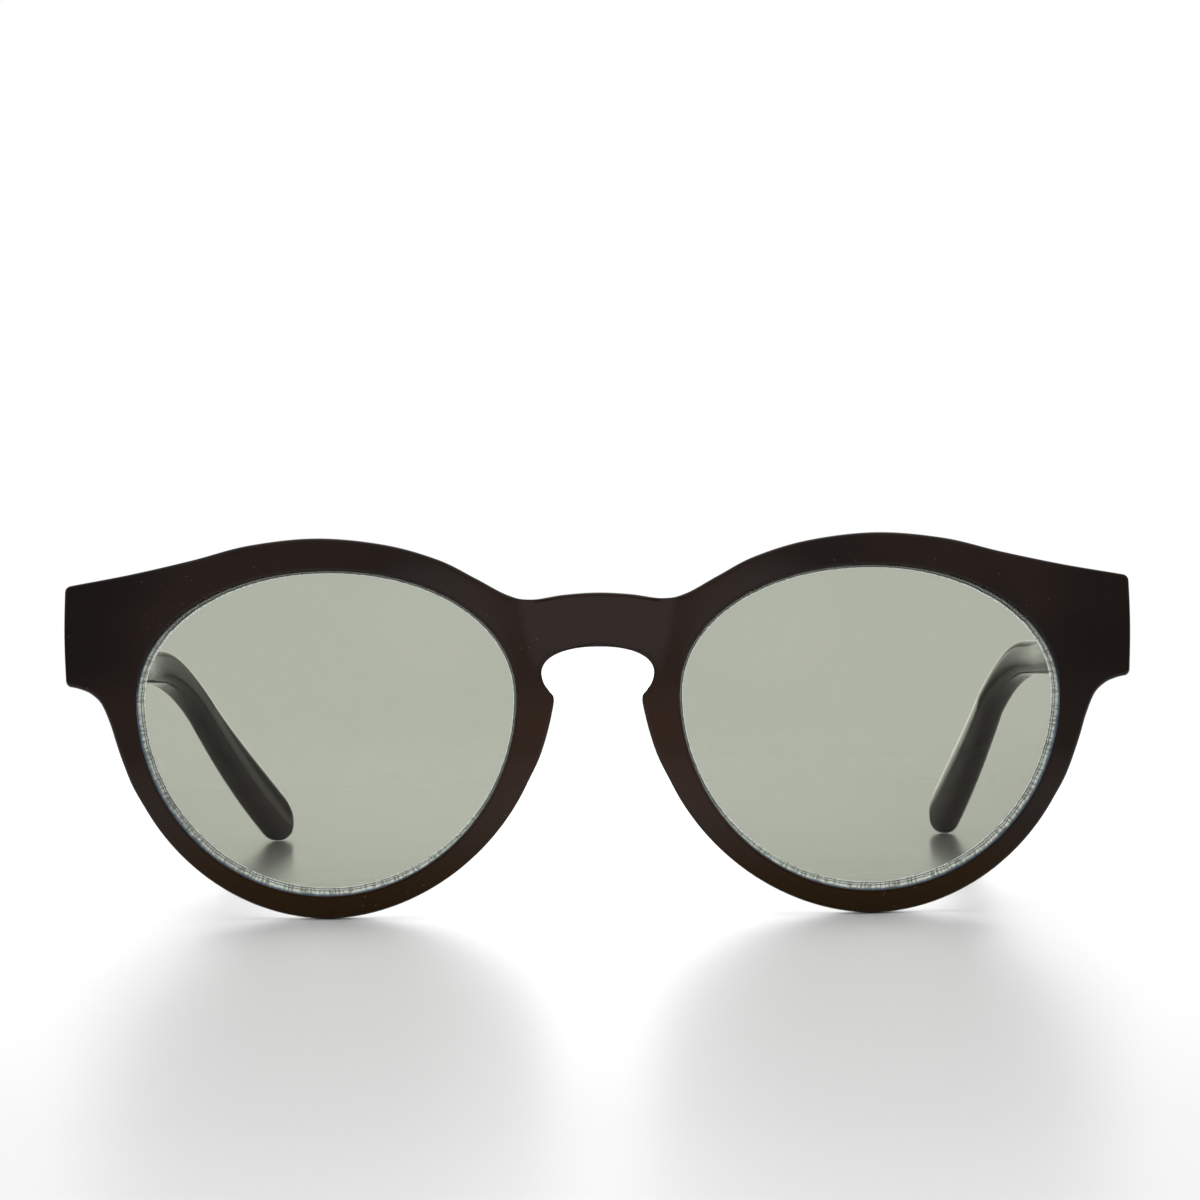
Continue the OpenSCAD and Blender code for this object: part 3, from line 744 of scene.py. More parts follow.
def acetate_finish(name):
    """Polished, very dark brown acetate with warm clouds, fine dust and hairline scratches, with
    painted warm light on the low rims and painted shade on the end pieces.
    """
    look = bpy.context.scene.sunglasses_finish
    f = Finish(name)
    nose_fades = (9 * MM, 30 * MM)  # from the middle, where the warm tone beside the nose ends
    nose_halves = (26 * MM, 34 * MM)  # up from the table, where that tone gets half as strong
    painted_warmth_fades = (2 * MM, 16 * MM)  # up from the table, where the warmth painted on the low rims ends
    shaded_ends_start = (56 * MM, 66 * MM)  # from the middle, where the shade painted on the end pieces starts
    shaded_ends_start_up = (27 * MM, 35 * MM)  # and up from the table
    cloud_share, painted_warmth_share, painted_end_shade_share = 0.3, 0.9, 0.6  # how strong the cloud, the painted warmth and the painted end shade get at most
    painted_end_shade = 0.35  # how dark the shade painted on the end pieces is beside the deep tone
    painted_low_reflection_tint = shade((1.0, 0.68, 0.32))  # painted reflection: tint that warms the reflections on the low rims
    speck_size, dull_dust = 0.085, 0.5  # share of a cell, and how much rougher dust is
    smooth, scratched = 0.03, 0.07  # roughness between the scratches and in them
    cloud_span, dusty_span, scratch_span = (0.40, 0.62), (0.55, 0.75), (0.3, 0.75)  # of the noise

    spot = f.add("SeparateXYZ", Vector=f.where()).outputs
    from_nose, height = f.math("ABSOLUTE", spot["X"]), spot["Z"]
    cloud = f.spread(f.noise(f.place(scale=55), detail=3.0), *cloud_span, soft=True)
    beside = f.spread(from_nose, *nose_fades, 1.0, 0.0, soft=True)
    below = f.spread(height, *nose_halves, 1.0, 0.5, soft=True)
    warm = f.math("MAXIMUM", f.times(cloud, cloud_share), f.times(beside, below))
    tone = f.blend(warm, shade(look.acetate), shade(look.acetate_warm))
    # Painted light: near the table the tone is warmed and the reflections are tinted, standing in for
    # the table's light on the low rims.
    low = f.spread(height, *painted_warmth_fades, painted_warmth_share, 0.0, soft=True)
    tone = f.blend(low, tone, shade(look.acetate_low))
    f.set(Specular_Tint=f.blend(low, shade((1.0, 1.0, 1.0)), painted_low_reflection_tint))
    # Painted shade: the end pieces are made darker in colour.
    outer = f.spread(from_nose, *shaded_ends_start, 0.0, painted_end_shade_share, soft=True)
    painted_end_shade_mask = f.times(outer, f.spread(height, *shaded_ends_start_up, soft=True))
    tone = f.blend(painted_end_shade_mask, tone, shade(look.acetate, painted_end_shade))

    cells = f.add("TexVoronoi", Vector=f.place(scale=1500), Scale=1.0).outputs
    speck = f.math("LESS_THAN", cells["Distance"], speck_size)
    dusty = f.spread(f.noise(f.place(scale=120)), *dusty_span)
    chosen = f.math("LESS_THAN", f.add("SeparateXYZ", Vector=cells["Color"]).outputs[0], dusty)
    dust = f.times(speck, chosen)
    f.set(Base_Color=f.blend(dust, tone, shade(look.dust)))
    hairs = f.noise(f.place(scale=900, stretch=(1.0, 0.12, 0.5)))
    polish = f.spread(hairs, *scratch_span, smooth, scratched)
    f.set(Roughness=f.plus(polish, f.times(dust, dull_dust)), IOR=1.32)
    f.bump(f.noise(f.place(scale=260)), strength=0.012, distance=0.04 * MM)
    return f.material


def lens_finish(name):
    """Clear, evenly tinted grey-green lens."""
    tint = bpy.context.scene.sunglasses_finish.lens
    deeper = 0.985  # shade of the faintly deeper clouds in the tint
    f = Finish(name)
    film = f.spread(f.noise(f.place(scale=18)), *NOISE_SPAN)
    f.set(Base_Color=f.blend(film, shade(tint), shade(tint, deeper)))
    f.set(Transmission_Weight=1.0, Roughness=0.0, IOR=1.30)
    return f.material


def bevel_finish(name):
    """Ground bevel: painted light in bright lines between wavering dark ones, a painted glint at its
    inner edge, and painted shade above and at the nose.
    """
    look = bpy.context.scene.sunglasses_finish
    front = bpy.context.scene.sunglasses_front
    f = Finish(name)
    waver_size, jag_size = 0.07, 0.035  # as shares of the bevel's width
    lit_bearing = -62  # middle of the stretch where light is painted, in degrees
    lit_from, lit_full = -0.05, 0.65  # cosines of the angle from there
    outer_edge = 0.8  # where the bevel's outer edge lies on the colour ramps
    tick_share, tick_span = 0.75, (0.40, 0.54)  # how dark the ticks get, and where in their noise

    rim = f.add("UVMap")
    rim.uv_map = "rim"
    split = f.add("SeparateXYZ", Vector=rim.outputs["UV"]).outputs

    def pattern(along, across, detail):
        """Noise with its own scale for each millimetre along and each width across the bevel."""
        spot = f.add("CombineXYZ", X=f.times(split["X"], along), Y=f.times(split["Y"], across))
        return f.noise(spot.outputs[0], detail)

    waver = f.spread(pattern(along=1.1, across=0.5, detail=2.0), *NOISE_SPAN, -waver_size, waver_size)
    ticks = pattern(along=4.2, across=0.7, detail=3.0)
    jag = f.spread(ticks, *NOISE_SPAN, -jag_size, jag_size)
    where = f.times(f.plus(split["Y"], f.plus(waver, jag)), outer_edge)
    light, dark, blue = (shade(c) for c in (look.bevel_light, look.bevel_dark, look.bevel_blue))
    pale, middling = shade(look.bevel_light, 1.6), shade(look.bevel_light, 0.3)
    deep = shade(look.bevel_dark, 0.3)
    # Painted highlight: a glint along the bevel's inner edge.
    painted_glint = shade((0.93, 1.0, 1.0))
    # Painted light below and at the temple side; painted shade above and at the nose.
    painted_lit_bands = f.colour_stops(where, (
        (0.0, painted_glint), (0.05, painted_glint), (0.09, dark), (0.14, dark), (0.19, light), (0.27, pale),
        (0.33, dark), (0.38, middling), (0.43, pale), (0.55, pale), (0.64, light),
        (0.70, middling), (0.75, blue), (0.82, blue), (0.87, deep),
    ))
    dim = f.colour_stops(where, (
        (0.0, painted_glint), (0.13, painted_glint), (0.22, deep), (0.36, dark), (0.5, middling), (0.62, dark),
        (0.72, deep),
    ))
    middle = (front.bridge_gap + front.lens_width) / 2
    level = front.rim_below + front.widest
    spot = f.add("SeparateXYZ", Vector=f.where()).outputs
    x = f.math("SUBTRACT", f.math("ABSOLUTE", spot["X"]), middle)
    z = f.math("SUBTRACT", spot["Z"], level)
    bearing = f.vectors("NORMALIZE", f.add("CombineXYZ", X=x, Z=z).outputs[0]).outputs[0]
    c, s = compass(lit_bearing)
    # Painted light: how far each place on the bevel lies in its lit stretch.
    painted_lit_side = f.spread(f.along(bearing, (c, 0, s)), lit_from, lit_full, soft=True)
    darker = f.spread(ticks, *tick_span, tick_share, 0.0)
    f.set(Base_Color=f.blend(darker, f.blend(painted_lit_side, dim, painted_lit_bands), dark))
    f.set(Roughness=0.18, Transmission_Weight=0.85, IOR=1.38)
    f.bump(ticks, strength=0.15, distance=0.05 * MM)
    return f.material


def metal_finish(name, rgb, scale, stretch, rough):
    """Metal with fine drawn or brushed lines and a faint tarnish."""
    tarnished, rougher = 0.86, 0.06  # shade where tarnished, and how much rougher the lines are
    tarnish_span = (0.35, 0.75)  # of the noise
    f = Finish(name)
    lines = f.noise(f.place(scale, stretch), detail=3.0, roughness=0.6)
    tarnish = f.spread(f.noise(f.place(scale=300), detail=3.0), *tarnish_span)
    f.set(Base_Color=f.blend(tarnish, shade(rgb), shade(rgb, tarnished)))
    f.set(Metallic=1.0, Roughness=f.spread(lines, *NOISE_SPAN, rough, rough + rougher))
    f.bump(lines, strength=0.05, distance=0.02 * MM)
    return f.material


def made_once(name, maker, **values):
    """The material of that name, made the first time it is asked for."""
    return bpy.data.materials.get(name) or maker(name, **values)


def acetate():
    return made_once("dark_brown_acetate", acetate_finish)


def nickel():
    rgb = bpy.context.scene.sunglasses_finish.nickel
    drawn = (1, 1, 0.06)  # the lines run up and down
    return made_once("satin_nickel", metal_finish, rgb=rgb, scale=2200, stretch=drawn, rough=0.22)


def drawn_wire():
    rgb = bpy.context.scene.sunglasses_finish.wire
    drawn = (1, 0.05, 1)  # the lines run along the temple
    return made_once("drawn_wire", metal_finish, rgb=rgb, scale=2600, stretch=drawn, rough=0.3)


# Front, lenses and pads


class SUNGLASSES_OT_front(bpy.types.Operator):
    """Build the one-piece front with its rims, keyhole bridge and end pieces"""

    bl_idname = "sunglasses.front"
    bl_label = "Front"

    def execute(self, context):
        shape, stand = shapes()
        points, faces = front_grid(shape)
        count = len(points)
        points += [(-x, y, z) for x, y, z in points]
        faces += [tuple(count + i for i in reversed(face)) for face in faces]
        made = piece("front_shell", [stand(p) for p in points], faces, [acetate()], sharp=70)
        settle(made, "front", "front_frame")
        return {"FINISHED"}


class LensShape:
    """The right-hand lens, from the middle of its face round its edge to the middle of its back."""

    around = 240  # points in each ring
    face_rings, bevel_rings, edge_rings = 14, 4, 2  # the edge's own rings are in the groove
    widest = -40  # bearing in degrees where the bevel is widest
    widening = (-0.6, 0.9)  # cosines of the angle from there, at its least and its full width
    fall = 0.3  # how much deeper the bevel gets for each millimetre across it
    back_inside = 0.3  # how far inside the opening the rim of the back lies

    def __init__(self, shape):
        self.shape = shape

    def spoke(self, a):
        """Points at one bearing, and how far across the bevel those on it and its edge lie."""
        shape, rings = self.shape, self.face_rings
        narrow = shape.lens_bevel_narrow
        turned = math.cos(math.radians(a - self.widest))
        bevel = narrow + (shape.lens_bevel_wide - narrow) * ramp(turned, *self.widening)
        hidden = shape.lens_groove - shape.lens_gap
        middle = Vector((shape.middle, shape.dome))
        inner, rim = shape.opening(a, -bevel), shape.opening(a, 0)
        tip, back = shape.opening(a, hidden), shape.opening(a, -self.back_inside)
        face, behind = shape.lens_set_back, shape.lens_set_back + shape.lens_thickness
        edge = face + self.fall * bevel
        row, across = [], [0]

        def put(q, depth):
            row.append((q[0], shape.bare_face(*q) + depth, q[1]))

        for i in range(1, rings + 1):
            put(middle.lerp(inner, i / rings), face)
        for i in range(1, self.bevel_rings + 1):
            t = i / self.bevel_rings
            put(inner.lerp(rim, t), face + self.fall * t * bevel)
            across.append(t)
        for i in range(1, self.edge_rings + 1):
            t = i / self.edge_rings
            put(rim.lerp(tip, t), edge + (shape.groove_middle - edge) * t)
            across.append(1 + t * hidden / bevel)
        for i in range(rings, 0, -1):
            put(middle.lerp(back, i / rings), behind)
        return row, across

    def mesh(self):
        """Points and faces, and for each face its finish and its place on the bevel."""
        shape = self.shape
        points, reach = [], []
        for i in range(self.around):
            row, across = self.spoke(360 * i / self.around)
            points += row
            reach.append(across)
        rows = len(row)
        front_middle, back_middle = len(points), len(points) + 1
        depth = shape.bare_face(shape.middle, shape.dome) + shape.lens_set_back
        for deep in (depth, depth + shape.lens_thickness):
            points.append((shape.middle, deep, shape.dome))
        column = math.pi * (shape.lens_width + shape.lens_height) / 2 / self.around
        faces, kinds, places = [], [], []
        for i in range(self.around):
            i1 = (i + 1) % self.around
            a, b = i * rows, i1 * rows
            faces += [(front_middle, b, a), (back_middle, a + rows - 1, b + rows - 1)]
            kinds += [0, 0]
            places += [[(0, 0)] * 3] * 2
            u0, u1 = i * column, (i + 1) * column
            low, high = reach[i], reach[i1]
            for j in range(rows - 1):
                faces.append((a + j, b + j, b + j + 1, a + j + 1))
                k = j - self.face_rings + 1
                if 0 <= k < len(across) - 1:
                    kinds.append(1)
                    places.append([(u0, low[k]), (u1, high[k]), (u1, high[k + 1]), (u0, low[k + 1])])
                else:
                    kinds.append(0)
                    places.append([(0, 0)] * 4)
        return points, faces, kinds, places


def lay_rim(mesh, faces, places):
    """Lays the places on the bevel on the faces, whichever way round each one now goes."""
    layer = mesh.uv_layers.new(name="rim")
    for polygon, face, uv in zip(mesh.polygons, faces, places):
        where = dict(zip(face, uv))
        for loop in polygon.loop_indices:
            layer.data[loop].uv = where[mesh.loops[loop].vertex_index]


class SUNGLASSES_OT_lenses(bpy.types.Operator):
    """Build the two tinted lenses with their ground bevels"""

    bl_idname = "sunglasses.lenses"
    bl_label = "Lenses"

    def execute(self, context):
        shape, stand = shapes()
        tint = made_once("tinted_lens", lens_finish)
        bevel = made_once("ground_bevel", bevel_finish)
        points, faces, kinds, places = LensShape(shape).mesh()
        for side, way in (("left", -1), ("right", 1)):
            placed = [stand((way * x, y, z)) for x, y, z in points]
            made = piece(f"lens_{side}_tinted", placed, faces, [tint, bevel], kinds, sharp=10)
            lay_rim(made.data, faces, places)
            settle(made, "front", "lens_" + side)
        return {"FINISHED"}


def pad_shape(shape, pad):
    """Points and faces of the right-hand pad: a long half egg, sunk into the back of the rim."""
    sunk = 0.6  # how deep the pad goes into the plastic
    under_neck = 0.5  # from the level of the keyhole's neck down to the top of the pad
    nose_edge = 1.8  # from the neck's half width out to the rim's edge beside the pad
    outside = 0.1  # from the middle between that edge and the opening to the pad's middle
    turned = Matrix.Rotation(math.radians(-18), 3, "Y")  # its top leans towards the nose
    around, up = 64, 20  # points in each ring and rings from the rim to the top

    wide, tall, out = pad.width / MM, pad.height / MM, pad.stands_out / MM
    z = shape.neck_level - tall / 2 - under_neck
    drop = (shape.level - z) / shape.widest
    opening = shape.middle - shape.lens_width / 2 * math.sqrt(1 - drop * drop)
    x = (shape.neck_half + nose_edge + opening) / 2 + outside
    middle = Vector((x, shape.back(x, z) - sunk, z))
    points = []
    for flat, rise in quarter(up):
        for i in range(around):
            a = math.tau * i / around
            local = Vector((
                wide / 2 * math.cos(a) * flat,
                (out + sunk) * rise,
                tall / 2 * math.sin(a) * flat,
            ))
            points.append(middle + turned @ local)
    bottom = len(points)
    points.append(middle)
    faces = []
    for i in range(around):
        i1 = (i + 1) % around
        faces.append((bottom, i, i1))
        for j in range(up):
            a, b = j * around, (j + 1) * around
            faces.append((a + i, b + i, b + i1, a + i1))
    return points, faces


class SUNGLASSES_OT_pads(bpy.types.Operator):
    """Build the two nose pads behind the rims"""

    bl_idname = "sunglasses.pads"
    bl_label = "Nose pads"

    def execute(self, context):
        shape, stand = shapes()
        points, faces = pad_shape(shape, context.scene.sunglasses_pad)
        for side, way in (("left", -1), ("right", 1)):
            placed = [stand((way * x, y, z)) for x, y, z in points]
            made = piece(f"nose_pad_{side}_soft", placed, faces, [acetate()])
            settle(made, "front", "nose_pad_" + side)
        return {"FINISHED"}


# Temples and the wires in them


class Sum:
    """A number inside a node tree: ordinary sums on it add the nodes that work it out."""

    def __init__(self, tree, socket):
        self.tree = tree
        self.socket = socket

    def result(self, kind, given, setting, choice):
        """Adds a node with one setting, feeds it in order and gives its first output."""
        node = self.tree.nodes.new(kind)
        setattr(node, setting, choice)
        for i, value in enumerate(given):
            if isinstance(value, Sum):
                self.tree.links.new(value.socket, node.inputs[i])
            else:
                node.inputs[i].default_value = value
        return Sum(self.tree, node.outputs[0])

    def math(self, kind, *given):
        return self.result("ShaderNodeMath", given, "operation", kind)

    def share(self, low, high, soft=False):
        """How far the number is from low to high, kept within 0 and 1."""
        way = "SMOOTHSTEP" if soft else "LINEAR"
        return self.result("ShaderNodeMapRange", (self, low, high), "interpolation_type", way)

    def __add__(self, other):
        return self.math("ADD", self, other)

    def __sub__(self, other):
        return self.math("SUBTRACT", self, other)

    def __rsub__(self, other):
        return self.math("SUBTRACT", other, self)

    def __mul__(self, other):
        return self.math("MULTIPLY", self, other)

    def __truediv__(self, other):
        return self.math("DIVIDE", self, other)

    def __rtruediv__(self, other):
        return self.math("DIVIDE", other, self)

    def __pow__(self, other):
        return self.math("POWER", self, other)

    def sin(self):
        return self.math("SINE", self)

    def cos(self):
        return self.math("COSINE", self)

    def sqrt(self):
        return self.math("SQRT", self)

    def size(self):
        return self.math("ABSOLUTE", self)

    def sign(self):
        return self.math("SIGN", self)

    def least(self, other):
        return self.math("MINIMUM", self, other)

    def most(self, other):
        return self.math("MAXIMUM", self, other)


TEMPLE_INPUTS = (
    "Side", "From", "To", "End Rounding", "Butt Rounding", "Blunt End",
    "Seat Depth", "Path Level", "Outer Face", "Thickness", "Wire Thickness", "Wire",
    "Section Power", "Tip Power", "Hinge Height", "Height", "Tip Height", "Taper", "Straight",
    "Bend Radius", "Bend Angle", "Length", "Tip Rounding", "Lean From", "Lean In", "Toe In",
    "Slope", "Shift Y", "Shift Z",
)


def new_tree(name, titles):
    """A geometry tree with a number input for each title and an input for the finish."""
    tree = bpy.data.node_groups.new(name, "GeometryNodeTree")
    face = tree.interface
    face.new_socket("Geometry", in_out="INPUT", socket_type="NodeSocketGeometry")
    for title in titles:
        face.new_socket(title, in_out="INPUT", socket_type="NodeSocketFloat")
    face.new_socket("Finish", in_out="INPUT", socket_type="NodeSocketMaterial")
    face.new_socket("Geometry", in_out="OUTPUT", socket_type="NodeSocketGeometry")
    return tree


def temple_tree():
    """A tree that sweeps a rounded section along a temple's path, from named sizes."""
    stations, around = 150, 48  # rings along the temple and steps round each
    butt_rows, tip_rows = 4, 14  # rings that round the hinge end and the tip
    whole_from, whole_to = 0.4, 0.6  # between the first ring, drawn to a point, and the second
    taper_power = 1.5  # above 1 a temple narrows faster near the hinge
    high_early = 1.6  # how many tip roundings before its end the tip is fully high
    fuller_tip = 0.2  # how much thicker the tip is, as a share of the thickness
    lean_power, toe_power = 1.15, 1.7  # above 1 the lean and the toe-in come later
    toe_ahead = 10 * MM  # how far ahead of the ear bend the toe-in starts

    name = "Temple sweep"
    if name in bpy.data.node_groups:
        return bpy.data.node_groups[name]
    tree = new_tree(name, TEMPLE_INPUTS)
    nodes, links = tree.nodes, tree.links
    given = nodes.new("NodeGroupInput")
    size = {title: Sum(tree, given.outputs[title]) for title in TEMPLE_INPUTS}
    straight, radius, bend = size["Straight"], size["Bend Radius"], size["Bend Angle"]
    full_length, tip_rounding, wire = size["Length"], size["Tip Rounding"], size["Wire"]

    # A flat grid one unit wide and long, whose places are counted as rings and as a turn.
    grid = nodes.new("GeometryNodeMeshGrid")
    grid.inputs["Vertices X"].default_value = stations
    grid.inputs["Vertices Y"].default_value = around + 1
    place = nodes.new("GeometryNodeInputPosition")
    split = nodes.new("ShaderNodeSeparateXYZ")
    links.new(place.outputs[0], split.inputs[0])
    station = (Sum(tree, split.outputs[0]) + 0.5) * (stations - 1)
    turn_round = (Sum(tree, split.outputs[1]) + 0.5) * math.tau

    # How far along the path each ring lies, closer together where the ends are rounded.
    last_run = stations - 1 - tip_rows
    butt = station.share(1, butt_rows) * (math.pi / 2)
    inset = size["Butt Rounding"] * (1 - butt.sin())
    whole = station.share(whole_from, whole_to)
    tip_turn = station.share(last_run, stations - 1) * (math.pi / 2)
    run = station.share(butt_rows, last_run)
    run_from = size["From"] + size["Butt Rounding"]
    run_to = size["To"] - size["End Rounding"]
    s = (
        size["From"] + size["Butt Rounding"] * (1 - butt.cos())
        + run * (run_to - run_from) + size["End Rounding"] * tip_turn.sin()
    )

    # The path: straight, round the ear bend and straight on.
    bend_length = radius * bend
    bent = ((s - straight) / radius).most(0.0).least(bend)
    beyond = (s - straight - bend_length).most(0.0)
    path_y = size["Seat Depth"] + s.least(straight) + radius * bent.sin() + beyond * bend.cos()
    path_z = size["Path Level"] - radius * (1 - bent.cos()) - beyond * bend.sin()

    def height_at(where):
        narrow = size["Height"] + (size["Hinge Height"] - size["Height"]) * (
            (1 - where.share(0.0, size["Taper"])) ** taper_power
        )
        wide_from = straight + bend_length / 2
        grown = where.share(wide_from, full_length - tip_rounding * high_early, True)
        return narrow + (size["Tip Height"] - size["Height"]) * grown

    # The section: half its thickness and height, how far it rises and how square it is.
    rise = (height_at(s.least(straight)) - size["Height"]) / 2
    height = height_at(s) * (1 - wire) + size["Wire Thickness"] * wire
    fuller = s.share(straight + bend_length / 2, full_length, True) * fuller_tip + 1
    thick = size["Thickness"] * fuller * (1 - wire) + size["Wire Thickness"] * wire
    closing = tip_turn.cos()
    last = s.share(size["To"] - size["End Rounding"] / 2, size["To"])
    drawn = size["Blunt End"] + (1 - size["Blunt End"]) * (1 - last * last).sqrt()
    half_t = (thick * drawn / 2 - inset) * whole
    half_h = (height * closing / 2 - inset * closing) * whole
    rounder = s.share(straight, straight + bend_length, True)
    square = size["Section Power"] + (size["Tip Power"] - size["Section Power"]) * rounder
    power = 2 / square

    def squared(value):
        return value.sign() * (value.size() ** power)

    # Each point's place, leaned and toed in, and stood on the table.
    across = half_t * squared(turn_round.cos())
    up = half_h * squared(turn_round.sin()) + rise
    lean = size["Lean In"] * (s.share(size["Lean From"], straight + bend_length) ** lean_power)
    toe = size["Toe In"] * (s.share(straight - toe_ahead, full_length) ** toe_power)
    x = size["Side"] * (size["Outer Face"] - size["Thickness"] / 2 - lean - toe + across)
    y = path_y + up * bent.sin()
    z = path_z + up * bent.cos()
    slope_c, slope_s = size["Slope"].cos(), size["Slope"].sin()
    stood_y = y * slope_c + z * slope_s + size["Shift Y"]
    stood_z = z * slope_c - y * slope_s + size["Shift Z"]
    spot = nodes.new("ShaderNodeCombineXYZ")
    for i, value in enumerate((x, stood_y, stood_z)):
        links.new(value.socket, spot.inputs[i])

    move = nodes.new("GeometryNodeSetPosition")
    links.new(grid.outputs["Mesh"], move.inputs["Geometry"])
    links.new(spot.outputs[0], move.inputs["Position"])
    sew = nodes.new("GeometryNodeMergeByDistance")
    sew.inputs["Distance"].default_value = SEW
    smooth = nodes.new("GeometryNodeSetShadeSmooth")
    real = nodes.new("GeometryNodeRealizeInstances")
    coat = nodes.new("GeometryNodeSetMaterial")
    links.new(given.outputs["Finish"], coat.inputs["Material"])
    chain = [move, sew, smooth, real, coat, nodes.new("NodeGroupOutput")]
    for first, second in zip(chain, chain[1:]):
        links.new(first.outputs[0], second.inputs[0])
    return tree


def grow(name, tree, values, finish):
    """Runs a tree on an empty mesh and keeps its result as a plain mesh object."""
    sharp = math.radians(40)
    made = bpy.data.objects.new(name, bpy.data.meshes.new(name))
    bpy.context.scene.collection.objects.link(made)
    grower = made.modifiers.new("grow", "NODES")
    grower.node_group = tree
    for socket in tree.interface.items_tree:
        if socket.in_out != "INPUT" or socket.socket_type == "NodeSocketGeometry":
            continue
        material = socket.socket_type == "NodeSocketMaterial"
        grower[socket.identifier] = finish if material else float(values[socket.name])
    bpy.context.view_layer.update()
    seen = made.evaluated_get(bpy.context.evaluated_depsgraph_get())
    mesh = bpy.data.meshes.new_from_object(seen)
    made.modifiers.remove(grower)
    made.data = mesh
    mesh.name = name
    clean(mesh)
    mesh.set_sharp_from_angle(angle=sharp)
    return made


def temple_values(side):
    """The sizes that the temple tree needs for one side, in metres and radians."""
    step = 0.2 * MM  # how far a temple stands back from the end piece, above and below
    short = 0.05 * MM  # how far the tip ends ahead of where it would touch the table
    scene = bpy.context.scene
    sizes = scene.sunglasses_temple
    shape, stand = shapes()
    level = shape.end_bottom * MM + step + sizes.height / 2
    bend, drop = sizes.bend_angle, sizes.bend_angle + sizes.stand
    reach = math.hypot(
        sizes.tip_round * math.sin(drop), sizes.tip_height / 2 * math.cos(drop)
    )
    bend_end_y = shape.seat * MM + sizes.straight + sizes.bend_radius * math.sin(bend)
    bend_end_z = level - sizes.bend_radius * (1 - math.cos(bend))
    stood = bend_end_z * stand.c - bend_end_y * stand.s + stand.shift[2]
    tip = (stood - reach) / math.sin(drop)
    whole = sizes.straight + sizes.bend_radius * bend + tip + sizes.tip_round - short
    left = side == "left"
    return {
        "Side": -1.0 if left else 1.0,
        "From": 0.0,
        "To": whole,
        "End Rounding": sizes.tip_round,
        "Butt Rounding": 0.18 * MM,
        "Blunt End": 0.35,
        "Seat Depth": shape.seat * MM,
        "Path Level": level,
        "Outer Face": (shape.half - OUTER_GAP) * MM,
        "Thickness": sizes.thickness,
        "Wire Thickness": sizes.wire,
        "Wire": 0.0,
        "Section Power": 4.2,
        "Tip Power": 2.5,
        "Hinge Height": shape.end_height * MM - 2 * step,
        "Height": sizes.height,
        "Tip Height": sizes.tip_height,
        "Taper": sizes.taper,
        "Straight": sizes.straight,
        "Bend Radius": sizes.bend_radius,
        "Bend Angle": bend,
        "Length": whole,
        "Tip Rounding": sizes.tip_round,
        "Lean From": 12 * MM,
        "Lean In": sizes.lean_left if left else sizes.lean_right,
        "Toe In": sizes.toe_left if left else sizes.toe_right,
        "Slope": sizes.stand,
        "Shift Y": stand.shift[1],
        "Shift Z": stand.shift[2],
    }


class SUNGLASSES_OT_temples(bpy.types.Operator):
    """Build the two temples with their ear bends"""

    bl_idname = "sunglasses.temples"
    bl_label = "Temples"

    def execute(self, context):
        tree = temple_tree()
        for side in ("left", "right"):
            made = grow(f"temple_{side}_arm", tree, temple_values(side), acetate())
            settle(made, side + "_temple", "temple_" + side)
        return {"FINISHED"}


class SUNGLASSES_OT_wires(bpy.types.Operator):
    """Build the wires that run inside the temples"""

    bl_idname = "sunglasses.wires"
    bl_label = "Core wires"

    def execute(self, context):
        start = 14.8 * MM  # from the hinge end, behind the hinge's leaf
        tips_short = 2.3  # how many tip roundings before the tip's end a wire ends
        tree = temple_tree()
        for side in ("left", "right"):
            values = temple_values(side)
            values["Wire"] = 1.0
            values["Section Power"] = values["Tip Power"] = 2.0
            values["From"] = start
            values["To"] -= tips_short * values["Tip Rounding"]
            values["End Rounding"] = values["Wire Thickness"] / 2
            values["Blunt End"] = 0.3
            made = grow(f"core_wire_{side}_drawn", tree, values, drawn_wire())
            settle(made, side + "_temple", "core_wire_" + side)
        return {"FINISHED"}


# Hinges


class Solid:
    """Points and faces of several closed shells that together make one piece."""

    def __init__(self):
        self.points = []
        self.faces = []

    def rings(self, rings, closed):
        """Joins rings of points; an open stack is capped at both ends."""
        first = len(self.points)
        n, count = len(rings[0]), len(rings)
        self.points += [tuple(p) for ring in rings for p in ring]
        for j in range(count if closed else count - 1):
            a, b = first + j * n, first + (j + 1) % count * n
            for i in range(n):
                k = (i + 1) % n
                self.faces.append((a + i, a + k, b + k, b + i))
        if not closed:
            self.faces.append(tuple(range(first, first + n)))
            self.faces.append(tuple(range(first + (count - 1) * n, first + count * n)))

    def slab(self, outline, low, high, way, chamfer):
        """An outline pushed along the x, y or z way, with its rims chamfered."""
        middle = sum(outline, Vector((0, 0))) / len(outline)
        rings = []
        for at, inset in ((low, chamfer), (low + chamfer, 0), (high - chamfer, 0), (high, chamfer)):
            ring = []
            for q in outline:
                spoke = q - middle
                q = middle + spoke * (1 - inset / max(spoke.length, chamfer))
                spot = [q[0], q[1]]
                spot.insert(way, at)
                ring.append(spot)
            rings.append(ring)
        self.rings(rings, False)

    def block(self, low, high, way, corner, chamfer=0.1):
        """A box between two corners, its outline rounded, pushed along one way."""
        steps = 6
        (x0, y0), (x1, y1) = [[v for i, v in enumerate(p) if i != way] for p in (low, high)]
        left, right, near, far = x0 + corner, x1 - corner, y0 + corner, y1 - corner
        outline = []
        for i, centre in enumerate(((right, far), (left, far), (left, near), (right, near))):
            outline += arc(centre, corner, 90 * i, 90 * i + 90, steps)
        self.slab(outline, low[way], high[way], way, chamfer)

    def turned(self, profile, x, y, closed, around=48):
        """A profile of radii and heights, turned round an upright axis."""
        rings = [
            [(x + px, y + py, z) for px, py in arc((0, 0), r, 0, 360, around)]
            for r, z in profile
        ]
        self.rings(rings, closed)


